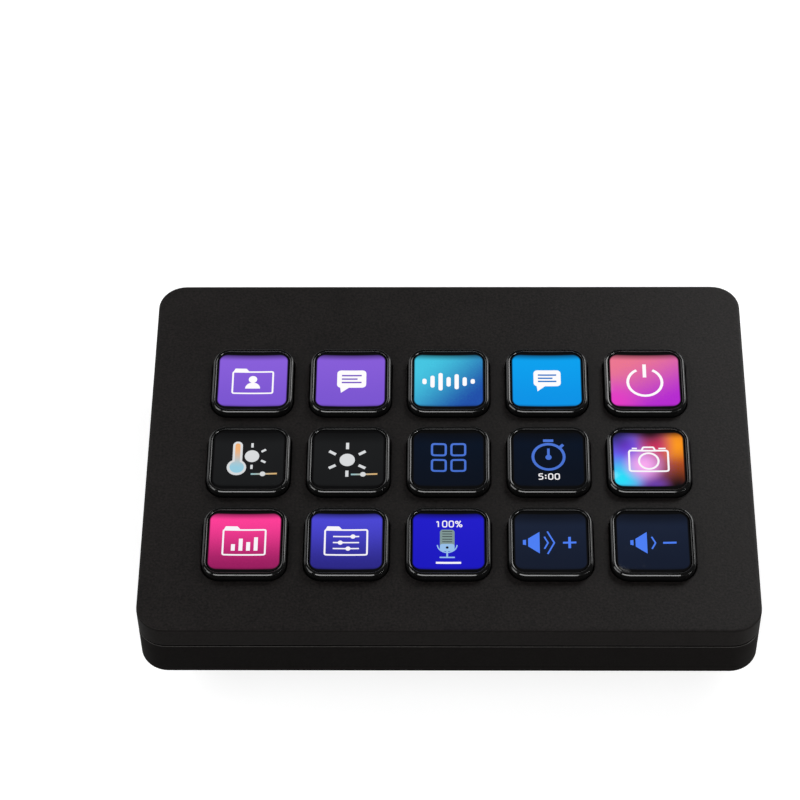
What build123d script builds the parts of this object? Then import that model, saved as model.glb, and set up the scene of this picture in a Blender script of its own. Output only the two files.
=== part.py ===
"""Macro keypad with fifteen display keys, in millimetres.

+X runs to the user's right, +Y away from the user and +Z up. The origin is the
centre of the footprint, on the surface under the rubber feet.
"""

import os

from build123d import *

os.makedirs("parts", exist_ok=True)

# ---- The case ----
case_length = 118.0
case_width = 84.0
case_corner = 5.5
total_height = 25.0
slab_depth = 14.2
slab_edge = 0.4
foot_proud = 0.8

# ---- The two shells ----
face_wall = 1.8
face_edge = 0.2
skirt_wall = 1.5
skirt_depth = 5.15
seam_gap = 0.25
lip_wall = 1.0
lip_height = 2.5
lip_gap = 0.1
floor_wall = 1.8
catch_reach = 0.5
catch_height = 1.0
catch_length = 9.0
catch_rise = 0.6
catch_count = 3
catch_spread = 36.0
catch_clear = 0.1

# ---- The hump under the slab ----
hump_side_set = 11.0
hump_near_set = 9.0
hump_far_set = 6.0
hump_corner = 7.0
hump_slope_side = 5.0
hump_slope_near = 5.0
hump_slope_far = 1.5
hump_wall = 2.0

# ---- The keys ----
key_columns = 5
key_rows = 3
key_pitch = 19.5
key_field_shift = -3.0
key_size = 16.2
key_corner = 3.5
key_proud = 1.6
key_hole_gap = 0.25
key_travel = 1.5
rim_width = 1.05
window_cut = 1.7
flange_width = 0.75
flange_thickness = 1.2
lens_gap = 0.05
lens_set = 0.35
lens_dish_radius = 200.0
lens_shoulder = 0.4
lens_shoulder_height = 0.9

# ---- Guide frame, membrane and switch board ----
frame_plate = 1.3
frame_gap = 0.1
guide_gap = 0.25
flange_gap = 0.3
inner_fit = 0.2
hook_length = 8.0
hook_thickness = 1.2
hook_drop = 3.0
hook_nib = 0.7
hook_nib_height = 1.4
hook_count = 3
hook_spread = 32.0
hook_clear = 0.2
core_depth = 4.2
core_wall = 1.5
membrane_sheet = 0.8
membrane_web = 0.3
membrane_rail = 1.7
membrane_slope = 0.4
membrane_margin = 1.5
switch_board = 1.2
switch_window_gap = 0.1
contact_thickness = 0.1
contact_inset = 0.1

# ---- The display ----
gasket_thickness = 0.5
gasket_border = 3.0
glass_thickness = 1.2
tray_wall = 0.3
tray_lip = 0.1
display_border = 1.4
display_side_gap = 0.3
display_fit = 0.1

# ---- The main board and what it carries ----
main_board = 1.2
main_board_side_gap = 2.0
main_board_near_gap = 3.2
main_board_far_gap = 0.5
main_board_rise = 3.9
ledge_length = 6.0
ledge_reach = 2.0
clip_wall = 1.2
clip_gap = 0.1
clip_nib = 0.6
clip_spread = 30.0
chip_height = 1.0
controller_size = 10.0
driver_size = 5.0
driver_spacing = 32.0
chip_set = 12.0
socket_height = 1.1
socket_depth = 4.0
socket_margin = 1.0
socket_set = 9.0
flex_thickness = 0.2
flex_bend = 0.6
flex_place = 20.0
flex_clear = 0.9
display_flex_width = 20.0
matrix_flex_width = 14.0
matrix_tail = 3.0

# ---- The USB-C port ----
usb_length = 8.94
usb_height = 3.26
usb_corner = 1.5
usb_depth = 7.35
usb_wall = 0.3
usb_proud = 0.4
usb_slot_gap = 0.15
usb_tongue_length = 6.69
usb_tongue_height = 0.7
usb_tongue_set = 0.9
usb_base_depth = 2.2
plug_length = 13.0
plug_height = 6.6
plug_depth = 5.0
plug_corner = 1.5
plug_wall = 1.8

# ---- Screws, posts and feet ----
screw_radius = 1.0
screw_clear = 0.15
thread_fit = 0.02
screw_bite = 3.0
head_radius = 1.8
head_height = 1.2
head_clear = 0.3
head_sink = 1.6
post_width = 4.2
post_gap = 0.4
post_set = 4.3
foot_length = 16.0
foot_width = 6.0
foot_cut = 1.2
foot_sink = 0.6
foot_set_x = 4.0
foot_set_y = 3.25

# ---- Heights, from the face down to the hump ----
face_z = total_height - key_proud
face_under_z = face_z - face_wall
skirt_z = face_z - skirt_depth
housing_z = skirt_z - seam_gap
lip_z = housing_z + lip_height
slab_z = face_z - slab_depth
floor_z = slab_z + floor_wall
hump_floor_z = foot_proud + floor_wall
frame_z = face_under_z - frame_gap
frame_under_z = frame_z - frame_plate
flange_z = frame_under_z - frame_gap
flange_under_z = flange_z - flange_thickness
pill_z = flange_under_z - membrane_rail
contact_z = pill_z - key_travel
switch_z = contact_z - contact_thickness
sheet_z = switch_z + membrane_sheet
switch_under_z = switch_z - switch_board
tray_z = switch_under_z - gasket_thickness
glass_z = tray_z - tray_lip
glass_under_z = glass_z - glass_thickness
hook_z = switch_z - hook_drop
main_board_z = hump_floor_z + main_board_rise
main_board_top_z = main_board_z + main_board
usb_z = main_board_z - usb_height / 2
screw_seat_z = slab_z + head_sink

# ---- Outlines seen from above ----
cavity_length = case_length - 2 * skirt_wall
cavity_width = case_width - 2 * skirt_wall
cavity_corner = case_corner - skirt_wall
lip_length = cavity_length - 2 * lip_gap
lip_width = cavity_width - 2 * lip_gap
lip_corner = cavity_corner - lip_gap
inner_length = lip_length - 2 * lip_wall
inner_width = lip_width - 2 * lip_wall
inner_corner = lip_corner - lip_wall
frame_length = inner_length - 2 * inner_fit
frame_width = inner_width - 2 * inner_fit
post_x = (inner_length - post_width) / 2 - post_gap
post_y = (inner_width - post_width) / 2 - post_set
membrane_length = key_columns * key_pitch + 2 * membrane_margin
membrane_width = key_rows * key_pitch + 2 * membrane_margin
display_length = 2 * post_x - post_width - 2 * display_side_gap
display_width = key_rows * key_pitch + 2 * display_border
panel_length = display_length - 2 * (tray_wall + display_fit)
panel_width = display_width - 2 * (tray_wall + display_fit)
display_far_y = key_field_shift + display_width / 2
hump_length = case_length - 2 * hump_side_set
hump_near_y = hump_near_set - case_width / 2
hump_far_y = case_width / 2 - hump_far_set
hump_width = hump_far_y - hump_near_y
hump_y = (hump_far_y + hump_near_y) / 2
base_length = hump_length - 2 * hump_slope_side
base_width = hump_width - hump_slope_near - hump_slope_far
base_y = hump_y + (hump_slope_near - hump_slope_far) / 2
plug_floor_y = hump_far_y - hump_slope_far - plug_depth
plug_back_y = plug_floor_y - plug_wall
usb_mouth_y = plug_floor_y + usb_proud
usb_back_y = usb_mouth_y - usb_depth
main_board_length = base_length - 2 * (hump_wall + main_board_side_gap)
main_board_far_y = plug_back_y - main_board_far_gap
main_board_near_y = base_y - base_width / 2 + hump_wall + main_board_near_gap
main_board_width = main_board_far_y - main_board_near_y
main_board_y = (main_board_far_y + main_board_near_y) / 2
socket_y = main_board_far_y - socket_set
flex_y = max(display_far_y, main_board_far_y) + flex_clear
core_near_y = key_field_shift + membrane_width / 2 + core_wall
core_far_y = frame_width / 2 - hook_thickness - core_wall
core_width = core_far_y - core_near_y
core_y = (core_far_y + core_near_y) / 2
foot_spread_x = base_length - 2 * foot_set_x - foot_length
foot_spread_y = base_width - 2 * foot_set_y - foot_width

# ---- One key, about its own centre ----
window_size = key_size - 2 * rim_width
lens_size = window_size - 2 * lens_gap
shoulder_size = lens_size + 2 * lens_shoulder
flange_size = key_size + 2 * flange_width
cell_size = flange_size + 2 * flange_gap
collar_size = flange_size - 2 * membrane_slope
collar_window = shoulder_size + 2 * lens_gap
groove_core = collar_window + 2 * membrane_web
groove_size = flange_size - 2 * membrane_web
groove_top_size = groove_size - 2 * membrane_slope

key_x = [(column - (key_columns - 1) / 2) * key_pitch for column in range(key_columns)]
key_y = [key_field_shift + ((key_rows - 1) / 2 - row) * key_pitch for row in range(key_rows)]
key_centres = [(x, y) for y in key_y for x in key_x]
screw_places = [(-post_x, post_y), (post_x, post_y)]


def catch(clearance):
    """Snap catches: ridges along the inside of the skirt's two long walls."""
    middle_z = skirt_z + catch_rise + catch_height / 2
    half_height = catch_height / 2 + clearance
    wall_y = cavity_width / 2
    with BuildPart() as ridge:
        with BuildSketch(Plane.YZ):
            with BuildLine():
                Polyline(
                    (wall_y, middle_z - half_height),
                    (wall_y, middle_z + half_height),
                    (wall_y - catch_reach - clearance, middle_z),
                    close=True,
                )
            make_face()
        extrude(amount=catch_length / 2 + clearance, both=True)
        mirror(about=Plane.XZ)
    with BuildPart() as ridges:
        with GridLocations(catch_spread, catch_length, catch_count, 1):
            add(ridge.part)
    return ridges.part


def hook(clearance):
    """Snap hooks that hold the guide frame down: legs with a nib turned outwards."""
    leg_y = frame_width / 2
    with BuildPart() as leg:
        with BuildSketch(Plane.YZ):
            with BuildLine():
                Polyline(
                    (leg_y - hook_thickness, switch_z),
                    (leg_y - hook_thickness, hook_z - clearance),
                    (leg_y, hook_z - clearance),
                    (leg_y + hook_nib + clearance, hook_z + hook_nib_height / 2),
                    (leg_y + hook_nib + clearance, hook_z + hook_nib_height + clearance),
                    (leg_y, hook_z + hook_nib_height + clearance),
                    (leg_y, switch_z),
                    close=True,
                )
            make_face()
        extrude(amount=hook_length / 2 + clearance, both=True)
        mirror(about=Plane.XZ)
    with BuildPart() as legs:
        with GridLocations(hook_spread, hook_length, hook_count, 1):
            add(leg.part)
    return legs.part


# ---- Faceplate: plate with a skirt, key holes and snap catches ----
with BuildPart() as faceplate:
    with BuildSketch(Plane.XY.offset(skirt_z)):
        RectangleRounded(case_length, case_width, case_corner)
    extrude(amount=skirt_depth)
    chamfer(faceplate.faces().sort_by(Axis.Z)[-1].edges(), face_edge)
    with BuildSketch(Plane.XY.offset(skirt_z)):
        RectangleRounded(cavity_length, cavity_width, cavity_corner)
    extrude(amount=skirt_depth - face_wall, mode=Mode.SUBTRACT)
    with BuildSketch(Plane.XY.offset(face_under_z)):
        with Locations(*key_centres):
            RectangleRounded(
                key_size + 2 * key_hole_gap,
                key_size + 2 * key_hole_gap,
                key_corner + key_hole_gap,
            )
    extrude(amount=face_wall, mode=Mode.SUBTRACT)
    add(catch(0))
faceplate.part.label = "faceplate"
export_step(faceplate.part, "parts/faceplate.step")

# ---- Hollow of the hump: it leaves a solid block round the plug recess ----
with BuildPart() as hump_hollow:
    with BuildSketch(Plane.XY.offset(floor_z)):
        with Locations((0, hump_y)):
            Rectangle(hump_length - 2 * hump_wall, hump_width - 2 * hump_wall)
    with BuildSketch(Plane.XY.offset(hump_floor_z)):
        with Locations((0, base_y)):
            Rectangle(base_length - 2 * hump_wall, base_width - 2 * hump_wall)
    loft()
    with BuildSketch(Plane.XY.offset(hump_floor_z)):
        with Locations((0, plug_back_y)):
            Rectangle(
                plug_length + 2 * plug_wall,
                hump_far_y - plug_back_y,
                align=(Align.CENTER, Align.MIN),
            )
    extrude(amount=floor_z - hump_floor_z, mode=Mode.SUBTRACT)

# ---- Rear housing: slab tray with a lip, hump, posts, board clips, plug recess ----
with BuildPart() as rear_housing:
    with BuildSketch(Plane.XY.offset(housing_z)):
        RectangleRounded(case_length, case_width, case_corner)
    extrude(amount=slab_z - housing_z)
    chamfer(rear_housing.faces().sort_by(Axis.Z)[0].edges(), slab_edge)
    with BuildSketch(Plane.XY.offset(housing_z)):
        RectangleRounded(lip_length, lip_width, lip_corner)
    extrude(amount=lip_height)
    with BuildSketch(Plane.XY.offset(slab_z)):
        with Locations((0, hump_y)):
            RectangleRounded(hump_length, hump_width, hump_corner)
    with BuildSketch(Plane.XY.offset(foot_proud)):
        with Locations((0, base_y)):
            RectangleRounded(base_length, base_width, hump_corner)
    loft()
    with BuildSketch(Plane.XY.offset(floor_z)):
        RectangleRounded(inner_length, inner_width, inner_corner)
    extrude(amount=lip_z - floor_z, mode=Mode.SUBTRACT)
    add(hump_hollow.part, mode=Mode.SUBTRACT)
    add(catch(catch_clear), mode=Mode.SUBTRACT)
    add(hook(hook_clear), mode=Mode.SUBTRACT)
    # Six posts that carry the switch board; the two far ones also take the case screws
    with BuildSketch(Plane.XY.offset(floor_z)):
        with GridLocations(2 * post_x, post_y, 2, 3):
            Rectangle(post_width, post_width)
    extrude(amount=switch_under_z - floor_z)
    # Ledges under the main board, each with a clip standing beside it
    with BuildSketch(Plane.XY.offset(hump_floor_z)):
        with Locations((0, main_board_y)):
            with GridLocations(main_board_length - ledge_reach, clip_spread, 2, 2):
                Rectangle(ledge_reach, ledge_length)
    extrude(amount=main_board_rise)
    with BuildSketch(Plane.XY.offset(hump_floor_z)):
        with Locations((0, main_board_y)):
            with GridLocations(main_board_length + 2 * clip_gap + clip_wall, clip_spread, 2, 2):
                Rectangle(clip_wall, ledge_length)
    extrude(amount=main_board_top_z + clip_gap + clip_nib - hump_floor_z)
    with BuildSketch(Plane.XY.offset(main_board_top_z + clip_gap)):
        with Locations((0, main_board_y)):
            with GridLocations(main_board_length - clip_nib + 2 * clip_gap, clip_spread, 2, 2):
                Rectangle(clip_nib, ledge_length)
    extrude(amount=clip_nib)
    # Shallow seats for the feet
    with BuildSketch(Plane.XY.offset(foot_proud)) as foot_seats:
        with Locations((0, base_y)):
            with GridLocations(foot_spread_x, foot_spread_y, 2, 2):
                Rectangle(foot_length, foot_width)
        chamfer(foot_seats.vertices(), foot_cut)
    extrude(amount=foot_sink, mode=Mode.SUBTRACT)
    # Plug recess and the slot that the port's mouth stands in
    with BuildSketch(Plane.XZ.offset(-plug_floor_y)):
        with Locations((0, usb_z)):
            RectangleRounded(plug_length, plug_height, plug_corner)
    extrude(amount=plug_floor_y - case_width / 2, mode=Mode.SUBTRACT)
    with BuildSketch(Plane.XZ.offset(-plug_floor_y)):
        with Locations((0, usb_z)):
            RectangleRounded(
                usb_length + 2 * usb_slot_gap,
                usb_height + 2 * usb_slot_gap,
                usb_corner + usb_slot_gap,
            )
    extrude(amount=plug_wall, mode=Mode.SUBTRACT)
    # Case screw holes with their counterbores
    with BuildSketch(Plane.XY.offset(slab_z)):
        with Locations(*screw_places):
            Circle(screw_radius + screw_clear)
    extrude(amount=switch_under_z - slab_z, mode=Mode.SUBTRACT)
    with BuildSketch(Plane.XY.offset(slab_z)):
        with Locations(*screw_places):
            Circle(head_radius + head_clear)
    extrude(amount=head_sink, mode=Mode.SUBTRACT)
rear_housing.part.label = "rear_housing"
export_step(rear_housing.part, "parts/rear_housing.step")

# ---- Key guide frame: guides the keys, clamps the membrane on the board ----
with BuildPart() as key_guide_frame:
    with BuildSketch(Plane.XY.offset(switch_z)) as outline:
        Rectangle(frame_length, frame_width)
        chamfer(outline.vertices(), inner_corner)
    extrude(amount=frame_z - switch_z)
    with BuildSketch(Plane.XY.offset(switch_z)):
        with Locations((0, key_field_shift)):
            Rectangle(membrane_length + 2 * inner_fit, membrane_width + 2 * inner_fit)
    extrude(amount=membrane_sheet, mode=Mode.SUBTRACT)
    with BuildSketch(Plane.XY.offset(sheet_z)):
        with Locations(*key_centres):
            Rectangle(cell_size, cell_size)
    extrude(amount=frame_under_z - sheet_z, mode=Mode.SUBTRACT)
    with BuildSketch(Plane.XY.offset(frame_under_z)):
        with Locations(*key_centres):
            Rectangle(key_size + 2 * guide_gap, key_size + 2 * guide_gap)
    extrude(amount=frame_plate, mode=Mode.SUBTRACT)
    with BuildSketch(Plane.XY.offset(switch_z)):
        with Locations((0, core_y)):
            with GridLocations(key_pitch, core_width, key_columns, 1):
                Rectangle(key_pitch - core_wall, core_width)
    extrude(amount=core_depth, mode=Mode.SUBTRACT)
    with BuildSketch(Plane.XY.offset(switch_z)):
        with Locations(*screw_places):
            Circle(screw_radius + thread_fit)
    extrude(amount=screw_bite + screw_clear, mode=Mode.SUBTRACT)
    add(hook(0))
key_guide_frame.part.label = "key_guide_frame"
export_step(key_guide_frame.part, "parts/key_guide_frame.step")

# ---- Key cap: glossy rim round the window, on a flange that the frame holds down ----
with BuildPart() as cap_form:
    with BuildSketch(Plane.XY.offset(flange_z)):
        RectangleRounded(key_size, key_size, key_corner)
    extrude(amount=total_height - flange_z)
    with BuildSketch(Plane.XY.offset(flange_under_z)):
        Rectangle(flange_size, flange_size)
    extrude(amount=flange_thickness)
    with BuildSketch(Plane.XY.offset(flange_under_z)) as window:
        Rectangle(window_size, window_size)
        chamfer(window.vertices(), window_cut)
    extrude(amount=total_height - flange_under_z, mode=Mode.SUBTRACT)
    with BuildSketch(Plane.XY.offset(flange_under_z)):
        Rectangle(collar_window, collar_window)
    extrude(amount=lens_shoulder_height + lens_gap, mode=Mode.SUBTRACT)

# ---- Key lens: clear block with a dished top and a shoulder under the cap ----
with BuildPart() as lens_form:
    with BuildSketch(Plane.XY.offset(flange_under_z)) as block:
        Rectangle(lens_size, lens_size)
        chamfer(block.vertices(), window_cut)
    extrude(amount=total_height - flange_under_z)
    with BuildSketch(Plane.XY.offset(flange_under_z)):
        Rectangle(shoulder_size, shoulder_size)
    extrude(amount=lens_shoulder_height)
    with Locations((0, 0, total_height - lens_set + lens_dish_radius)):
        Sphere(lens_dish_radius, rotation=(90, 0, 0), mode=Mode.SUBTRACT)

for row, y in enumerate(key_y, start=1):
    for column, x in enumerate(key_x, start=1):
        with BuildPart() as key_cap:
            with Locations((x, y)):
                add(cap_form.part)
        key_cap.part.label = f"key_cap_r{row}c{column}"
        export_step(key_cap.part, f"parts/key_cap_r{row}c{column}.step")

        with BuildPart() as key_lens:
            with Locations((x, y)):
                add(lens_form.part)
        key_lens.part.label = f"key_lens_r{row}c{column}"
        export_step(key_lens.part, f"parts/key_lens_r{row}c{column}.step")

# ---- One collar of the membrane: a rail on two thin webs, hollow below ----
with BuildPart() as collar_groove:
    with BuildSketch(Plane.XY.offset(switch_z)):
        Rectangle(groove_size, groove_size)
    with BuildSketch(Plane.XY.offset(pill_z)):
        Rectangle(groove_top_size, groove_top_size)
    loft()
    with BuildSketch(Plane.XY.offset(switch_z)):
        Rectangle(groove_core, groove_core)
    extrude(amount=pill_z - switch_z, mode=Mode.SUBTRACT)

with BuildPart() as collar_form:
    with BuildSketch(Plane.XY.offset(sheet_z)):
        Rectangle(flange_size, flange_size)
    with BuildSketch(Plane.XY.offset(flange_under_z)):
        Rectangle(collar_size, collar_size)
    loft()
    with BuildSketch(Plane.XY.offset(switch_z)):
        Rectangle(flange_size, flange_size)
    extrude(amount=membrane_sheet)
    with BuildSketch(Plane.XY.offset(switch_z)):
        Rectangle(collar_window, collar_window)
    extrude(amount=flange_under_z - switch_z, mode=Mode.SUBTRACT)
    add(collar_groove.part, mode=Mode.SUBTRACT)

# ---- Key membrane: one silicone sheet with a collar under every key ----
with BuildPart() as key_membrane:
    with BuildSketch(Plane.XY.offset(switch_z)):
        with Locations((0, key_field_shift)):
            Rectangle(membrane_length, membrane_width)
        with Locations(*key_centres):
            Rectangle(flange_size, flange_size, mode=Mode.SUBTRACT)
    extrude(amount=membrane_sheet)
    with Locations(*key_centres):
        add(collar_form.part)
key_membrane.part.label = "key_membrane"
export_step(key_membrane.part, "parts/key_membrane.step")

# ---- Contact board: windows over the display, notches for screws and hooks ----
with BuildPart() as contact_board:
    with BuildSketch(Plane.XY.offset(switch_under_z)) as outline:
        Rectangle(frame_length, frame_width)
        chamfer(outline.vertices(), inner_corner)
        with Locations(*key_centres):
            Rectangle(
                window_size + 2 * switch_window_gap,
                window_size + 2 * switch_window_gap,
                mode=Mode.SUBTRACT,
            )
        with Locations(*screw_places):
            Rectangle(
                inner_length - 2 * post_x,
                2 * (screw_radius + screw_clear),
                mode=Mode.SUBTRACT,
            )
        with GridLocations(hook_spread, frame_width, hook_count, 2):
            Rectangle(
                hook_length + 2 * hook_clear,
                2 * (hook_thickness + hook_clear),
                mode=Mode.SUBTRACT,
            )
    extrude(amount=switch_board)
contact_board.part.label = "contact_board"
export_step(contact_board.part, "parts/contact_board.step")

with BuildPart() as contact_rings:
    with BuildSketch(Plane.XY.offset(switch_z)):
        with Locations(*key_centres):
            Rectangle(groove_top_size, groove_top_size)
        with Locations(*key_centres):
            Rectangle(
                groove_core + 2 * contact_inset,
                groove_core + 2 * contact_inset,
                mode=Mode.SUBTRACT,
            )
    extrude(amount=contact_thickness)
contact_rings.part.label = "contact_rings"
export_step(contact_rings.part, "parts/contact_rings.step")

# ---- Display: foam gasket, glass, backlight and the steel tray they lie in ----
with BuildPart() as display_gasket:
    with BuildSketch(Plane.XY.offset(tray_z)):
        with Locations((0, key_field_shift)):
            Rectangle(display_length, display_width)
            Rectangle(
                display_length - 2 * gasket_border,
                display_width - 2 * gasket_border,
                mode=Mode.SUBTRACT,
            )
    extrude(amount=gasket_thickness)
display_gasket.part.label = "display_gasket"
export_step(display_gasket.part, "parts/display_gasket.step")

with BuildPart() as display_glass:
    with BuildSketch(Plane.XY.offset(glass_under_z)):
        with Locations((0, key_field_shift)):
            Rectangle(panel_length, panel_width)
    extrude(amount=glass_thickness)
display_glass.part.label = "display_glass"
export_step(display_glass.part, "parts/display_glass.step")

with BuildPart() as display_backlight:
    with BuildSketch(Plane.XY.offset(floor_z + tray_wall)):
        with Locations((0, key_field_shift)):
            Rectangle(panel_length, panel_width)
    extrude(amount=glass_under_z - floor_z - tray_wall)
display_backlight.part.label = "display_backlight"
export_step(display_backlight.part, "parts/display_backlight.step")

with BuildPart() as display_tray:
    with BuildSketch(Plane.XY.offset(floor_z)):
        with Locations((0, key_field_shift)):
            Rectangle(display_length, display_width)
    extrude(amount=tray_z - floor_z)
    with BuildSketch(Plane.XY.offset(floor_z + tray_wall)):
        with Locations((0, key_field_shift)):
            Rectangle(display_length - 2 * tray_wall, display_width - 2 * tray_wall)
    extrude(amount=tray_z - floor_z - tray_wall, mode=Mode.SUBTRACT)
    with BuildSketch(Plane.XY.offset(glass_under_z)):
        with Locations((flex_place, display_far_y)):
            Rectangle(display_flex_width + 2 * socket_margin, 3 * tray_wall)
    extrude(amount=tray_z - glass_under_z, mode=Mode.SUBTRACT)
display_tray.part.label = "display_tray"
export_step(display_tray.part, "parts/display_tray.step")

# ---- Main board with its chips and sockets, which share its lower side with the port ----
with BuildPart() as main_circuit_board:
    with BuildSketch(Plane.XY.offset(main_board_z)):
        with Locations((0, main_board_y)):
            Rectangle(main_board_length, main_board_width)
    extrude(amount=main_board)
main_circuit_board.part.label = "main_board"
export_step(main_circuit_board.part, "parts/main_board.step")

with BuildPart() as board_chips:
    with BuildSketch(Plane.XY.offset(main_board_z)):
        with Locations((0, main_board_y)):
            Rectangle(controller_size, controller_size)
        with Locations((0, main_board_y - chip_set)):
            with GridLocations(driver_spacing, driver_size, 2, 1):
                Rectangle(driver_size, driver_size)
    extrude(amount=-chip_height)
board_chips.part.label = "board_chips"
export_step(board_chips.part, "parts/board_chips.step")

with BuildPart() as flex_sockets:
    with BuildSketch(Plane.XY.offset(main_board_z)):
        with Locations((flex_place, socket_y)):
            Rectangle(display_flex_width + 2 * socket_margin, socket_depth)
        with Locations((-flex_place, socket_y)):
            Rectangle(matrix_flex_width + 2 * socket_margin, socket_depth)
    extrude(amount=-socket_height)
flex_sockets.part.label = "flex_sockets"
export_step(flex_sockets.part, "parts/flex_sockets.step")

# ---- Ribbon cables, each bent round the far edge of the display ----
socket_mouth_y = socket_y + socket_depth / 2
socket_mouth_z = main_board_z - socket_height / 2
flexes = [
    ("display_flex", flex_place, display_flex_width, key_field_shift + panel_width / 2, glass_z),
    ("matrix_flex", -flex_place, matrix_flex_width, flex_y + matrix_tail, switch_under_z),
]
for name, place_x, width, start_y, top_z in flexes:
    with BuildPart() as flex:
        with BuildSketch(Plane.YZ.offset(place_x - width / 2)):
            with BuildLine():
                FilletPolyline(
                    (start_y, top_z - flex_thickness),
                    (flex_y, top_z - flex_thickness),
                    (flex_y, socket_mouth_z),
                    (socket_mouth_y, socket_mouth_z),
                    radius=flex_bend,
                )
                offset(amount=flex_thickness, side=Side.LEFT)
            make_face()
        extrude(amount=width)
    flex.part.label = name
    export_step(flex.part, f"parts/{name}.step")

# ---- USB-C port: steel shell, and the tongue on its moulded base ----
with BuildPart() as usb_c_shell:
    with BuildSketch(Plane.XZ.offset(-usb_mouth_y)):
        with Locations((0, usb_z)):
            RectangleRounded(usb_length, usb_height, usb_corner)
            RectangleRounded(
                usb_length - 2 * usb_wall,
                usb_height - 2 * usb_wall,
                usb_corner - usb_wall,
                mode=Mode.SUBTRACT,
            )
    extrude(amount=usb_depth)
usb_c_shell.part.label = "usb_c_shell"
export_step(usb_c_shell.part, "parts/usb_c_shell.step")

with BuildPart() as usb_c_tongue:
    with BuildSketch(Plane.XZ.offset(-usb_back_y)):
        with Locations((0, usb_z)):
            Rectangle(usb_length - 2 * usb_corner, usb_height - 2 * usb_wall)
    extrude(amount=-usb_base_depth)
    with BuildSketch(Plane.XZ.offset(-usb_back_y)):
        with Locations((0, usb_z)):
            Rectangle(usb_tongue_length, usb_tongue_height)
    extrude(amount=usb_tongue_set - usb_depth)
usb_c_tongue.part.label = "usb_c_tongue"
export_step(usb_c_tongue.part, "parts/usb_c_tongue.step")

# ---- Case screws: they come up from below into the guide frame ----
with BuildPart() as case_screws:
    with BuildSketch(Plane.XY.offset(screw_seat_z)):
        with Locations(*screw_places):
            Circle(head_radius)
    extrude(amount=-head_height)
    with BuildSketch(Plane.XY.offset(screw_seat_z)):
        with Locations(*screw_places):
            Circle(screw_radius)
    extrude(amount=switch_z + screw_bite - screw_seat_z)
case_screws.part.label = "case_screws"
export_step(case_screws.part, "parts/case_screws.step")

# ---- Rubber feet ----
with BuildPart() as rubber_feet:
    with BuildSketch(Plane.XY) as pads:
        with Locations((0, base_y)):
            with GridLocations(foot_spread_x, foot_spread_y, 2, 2):
                Rectangle(foot_length, foot_width)
        chamfer(pads.vertices(), foot_cut)
    extrude(amount=foot_proud + foot_sink)
rubber_feet.part.label = "rubber_feet"
export_step(rubber_feet.part, "parts/rubber_feet.step")
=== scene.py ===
# %% [markdown]
# # Macro keypad with fifteen display keys
# The keypad is a flat two-part case with fifteen square keys. Every key is a glossy black
# rim round a clear dished window, and one display behind them all gives each its picture.
# The construction model comes first, as a fixed frame: new pieces are laid over its solids
# and ride on its bodies, so nothing has to be fitted by eye.

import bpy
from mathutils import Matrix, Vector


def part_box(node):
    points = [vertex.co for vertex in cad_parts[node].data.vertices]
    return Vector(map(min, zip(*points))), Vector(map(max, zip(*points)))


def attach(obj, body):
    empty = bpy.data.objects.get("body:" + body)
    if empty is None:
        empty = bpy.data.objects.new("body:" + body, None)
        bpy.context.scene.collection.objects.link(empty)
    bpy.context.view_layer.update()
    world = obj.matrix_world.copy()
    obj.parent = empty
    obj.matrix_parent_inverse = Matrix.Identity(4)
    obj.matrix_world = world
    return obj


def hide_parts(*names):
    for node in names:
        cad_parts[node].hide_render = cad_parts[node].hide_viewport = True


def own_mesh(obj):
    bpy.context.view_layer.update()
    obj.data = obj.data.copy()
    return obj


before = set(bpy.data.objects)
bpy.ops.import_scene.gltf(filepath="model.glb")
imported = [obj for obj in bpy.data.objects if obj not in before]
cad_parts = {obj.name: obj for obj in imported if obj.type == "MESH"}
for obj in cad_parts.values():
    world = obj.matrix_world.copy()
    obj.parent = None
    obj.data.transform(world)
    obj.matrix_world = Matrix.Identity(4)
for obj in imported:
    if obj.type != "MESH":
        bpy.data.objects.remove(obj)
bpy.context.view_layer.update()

import bmesh
import bpy
import numpy as np
from mathutils import Matrix, Vector

mm = 0.001
join_distance, least_length = 0.001 * mm, 0.0001 * mm
print("points closer than", join_distance, "m are joined")

# %% [markdown]
# ## Measures
# The key centres, the face and the seam are read from the frame instead of being typed
# again. A rebuilt construction model then moves the looks along with it.

# %% Measures read from the frame, in millimetres
def limits(solid):
    """Lowest and highest corner of a construction node, in millimetres."""
    return [np.array(corner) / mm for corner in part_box(solid)]


columns, rows = 5, 3
key_names = [f"r{row + 1}c{column + 1}" for row in range(rows) for column in range(columns)]
key_middle = {key: sum(limits(f"key_cap_{key}"))[:2] / 2 for key in key_names}
key_pitch = key_middle["r1c2"][0] - key_middle["r1c1"][0]
field_middle = key_middle["r2c3"]
field_row = (columns / 2 * key_pitch, rows / 2 * key_pitch, 0)
flange_under_z, crest_z = (corner[2] for corner in limits("key_cap_r1c1"))
skirt_z, face_z = (corner[2] for corner in limits("faceplate"))
case_half = limits("faceplate")[1][:2]
case_corner, case_wall = 5.5, 1.5
print("pitch", key_pitch, "face", face_z, "crest", crest_z, "seam", skirt_z)

# %% [markdown]
# ## Surfaces from numbers
# A moulded part is mostly sections carried round a rounded rectangle. One table of
# directions describes that rectangle for any size: a point is a lean towards the corner
# centres plus a turn of the corner radius. Whole arrays give all the points at once,
# which is quicker and more even than placing vertices one by one.

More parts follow.
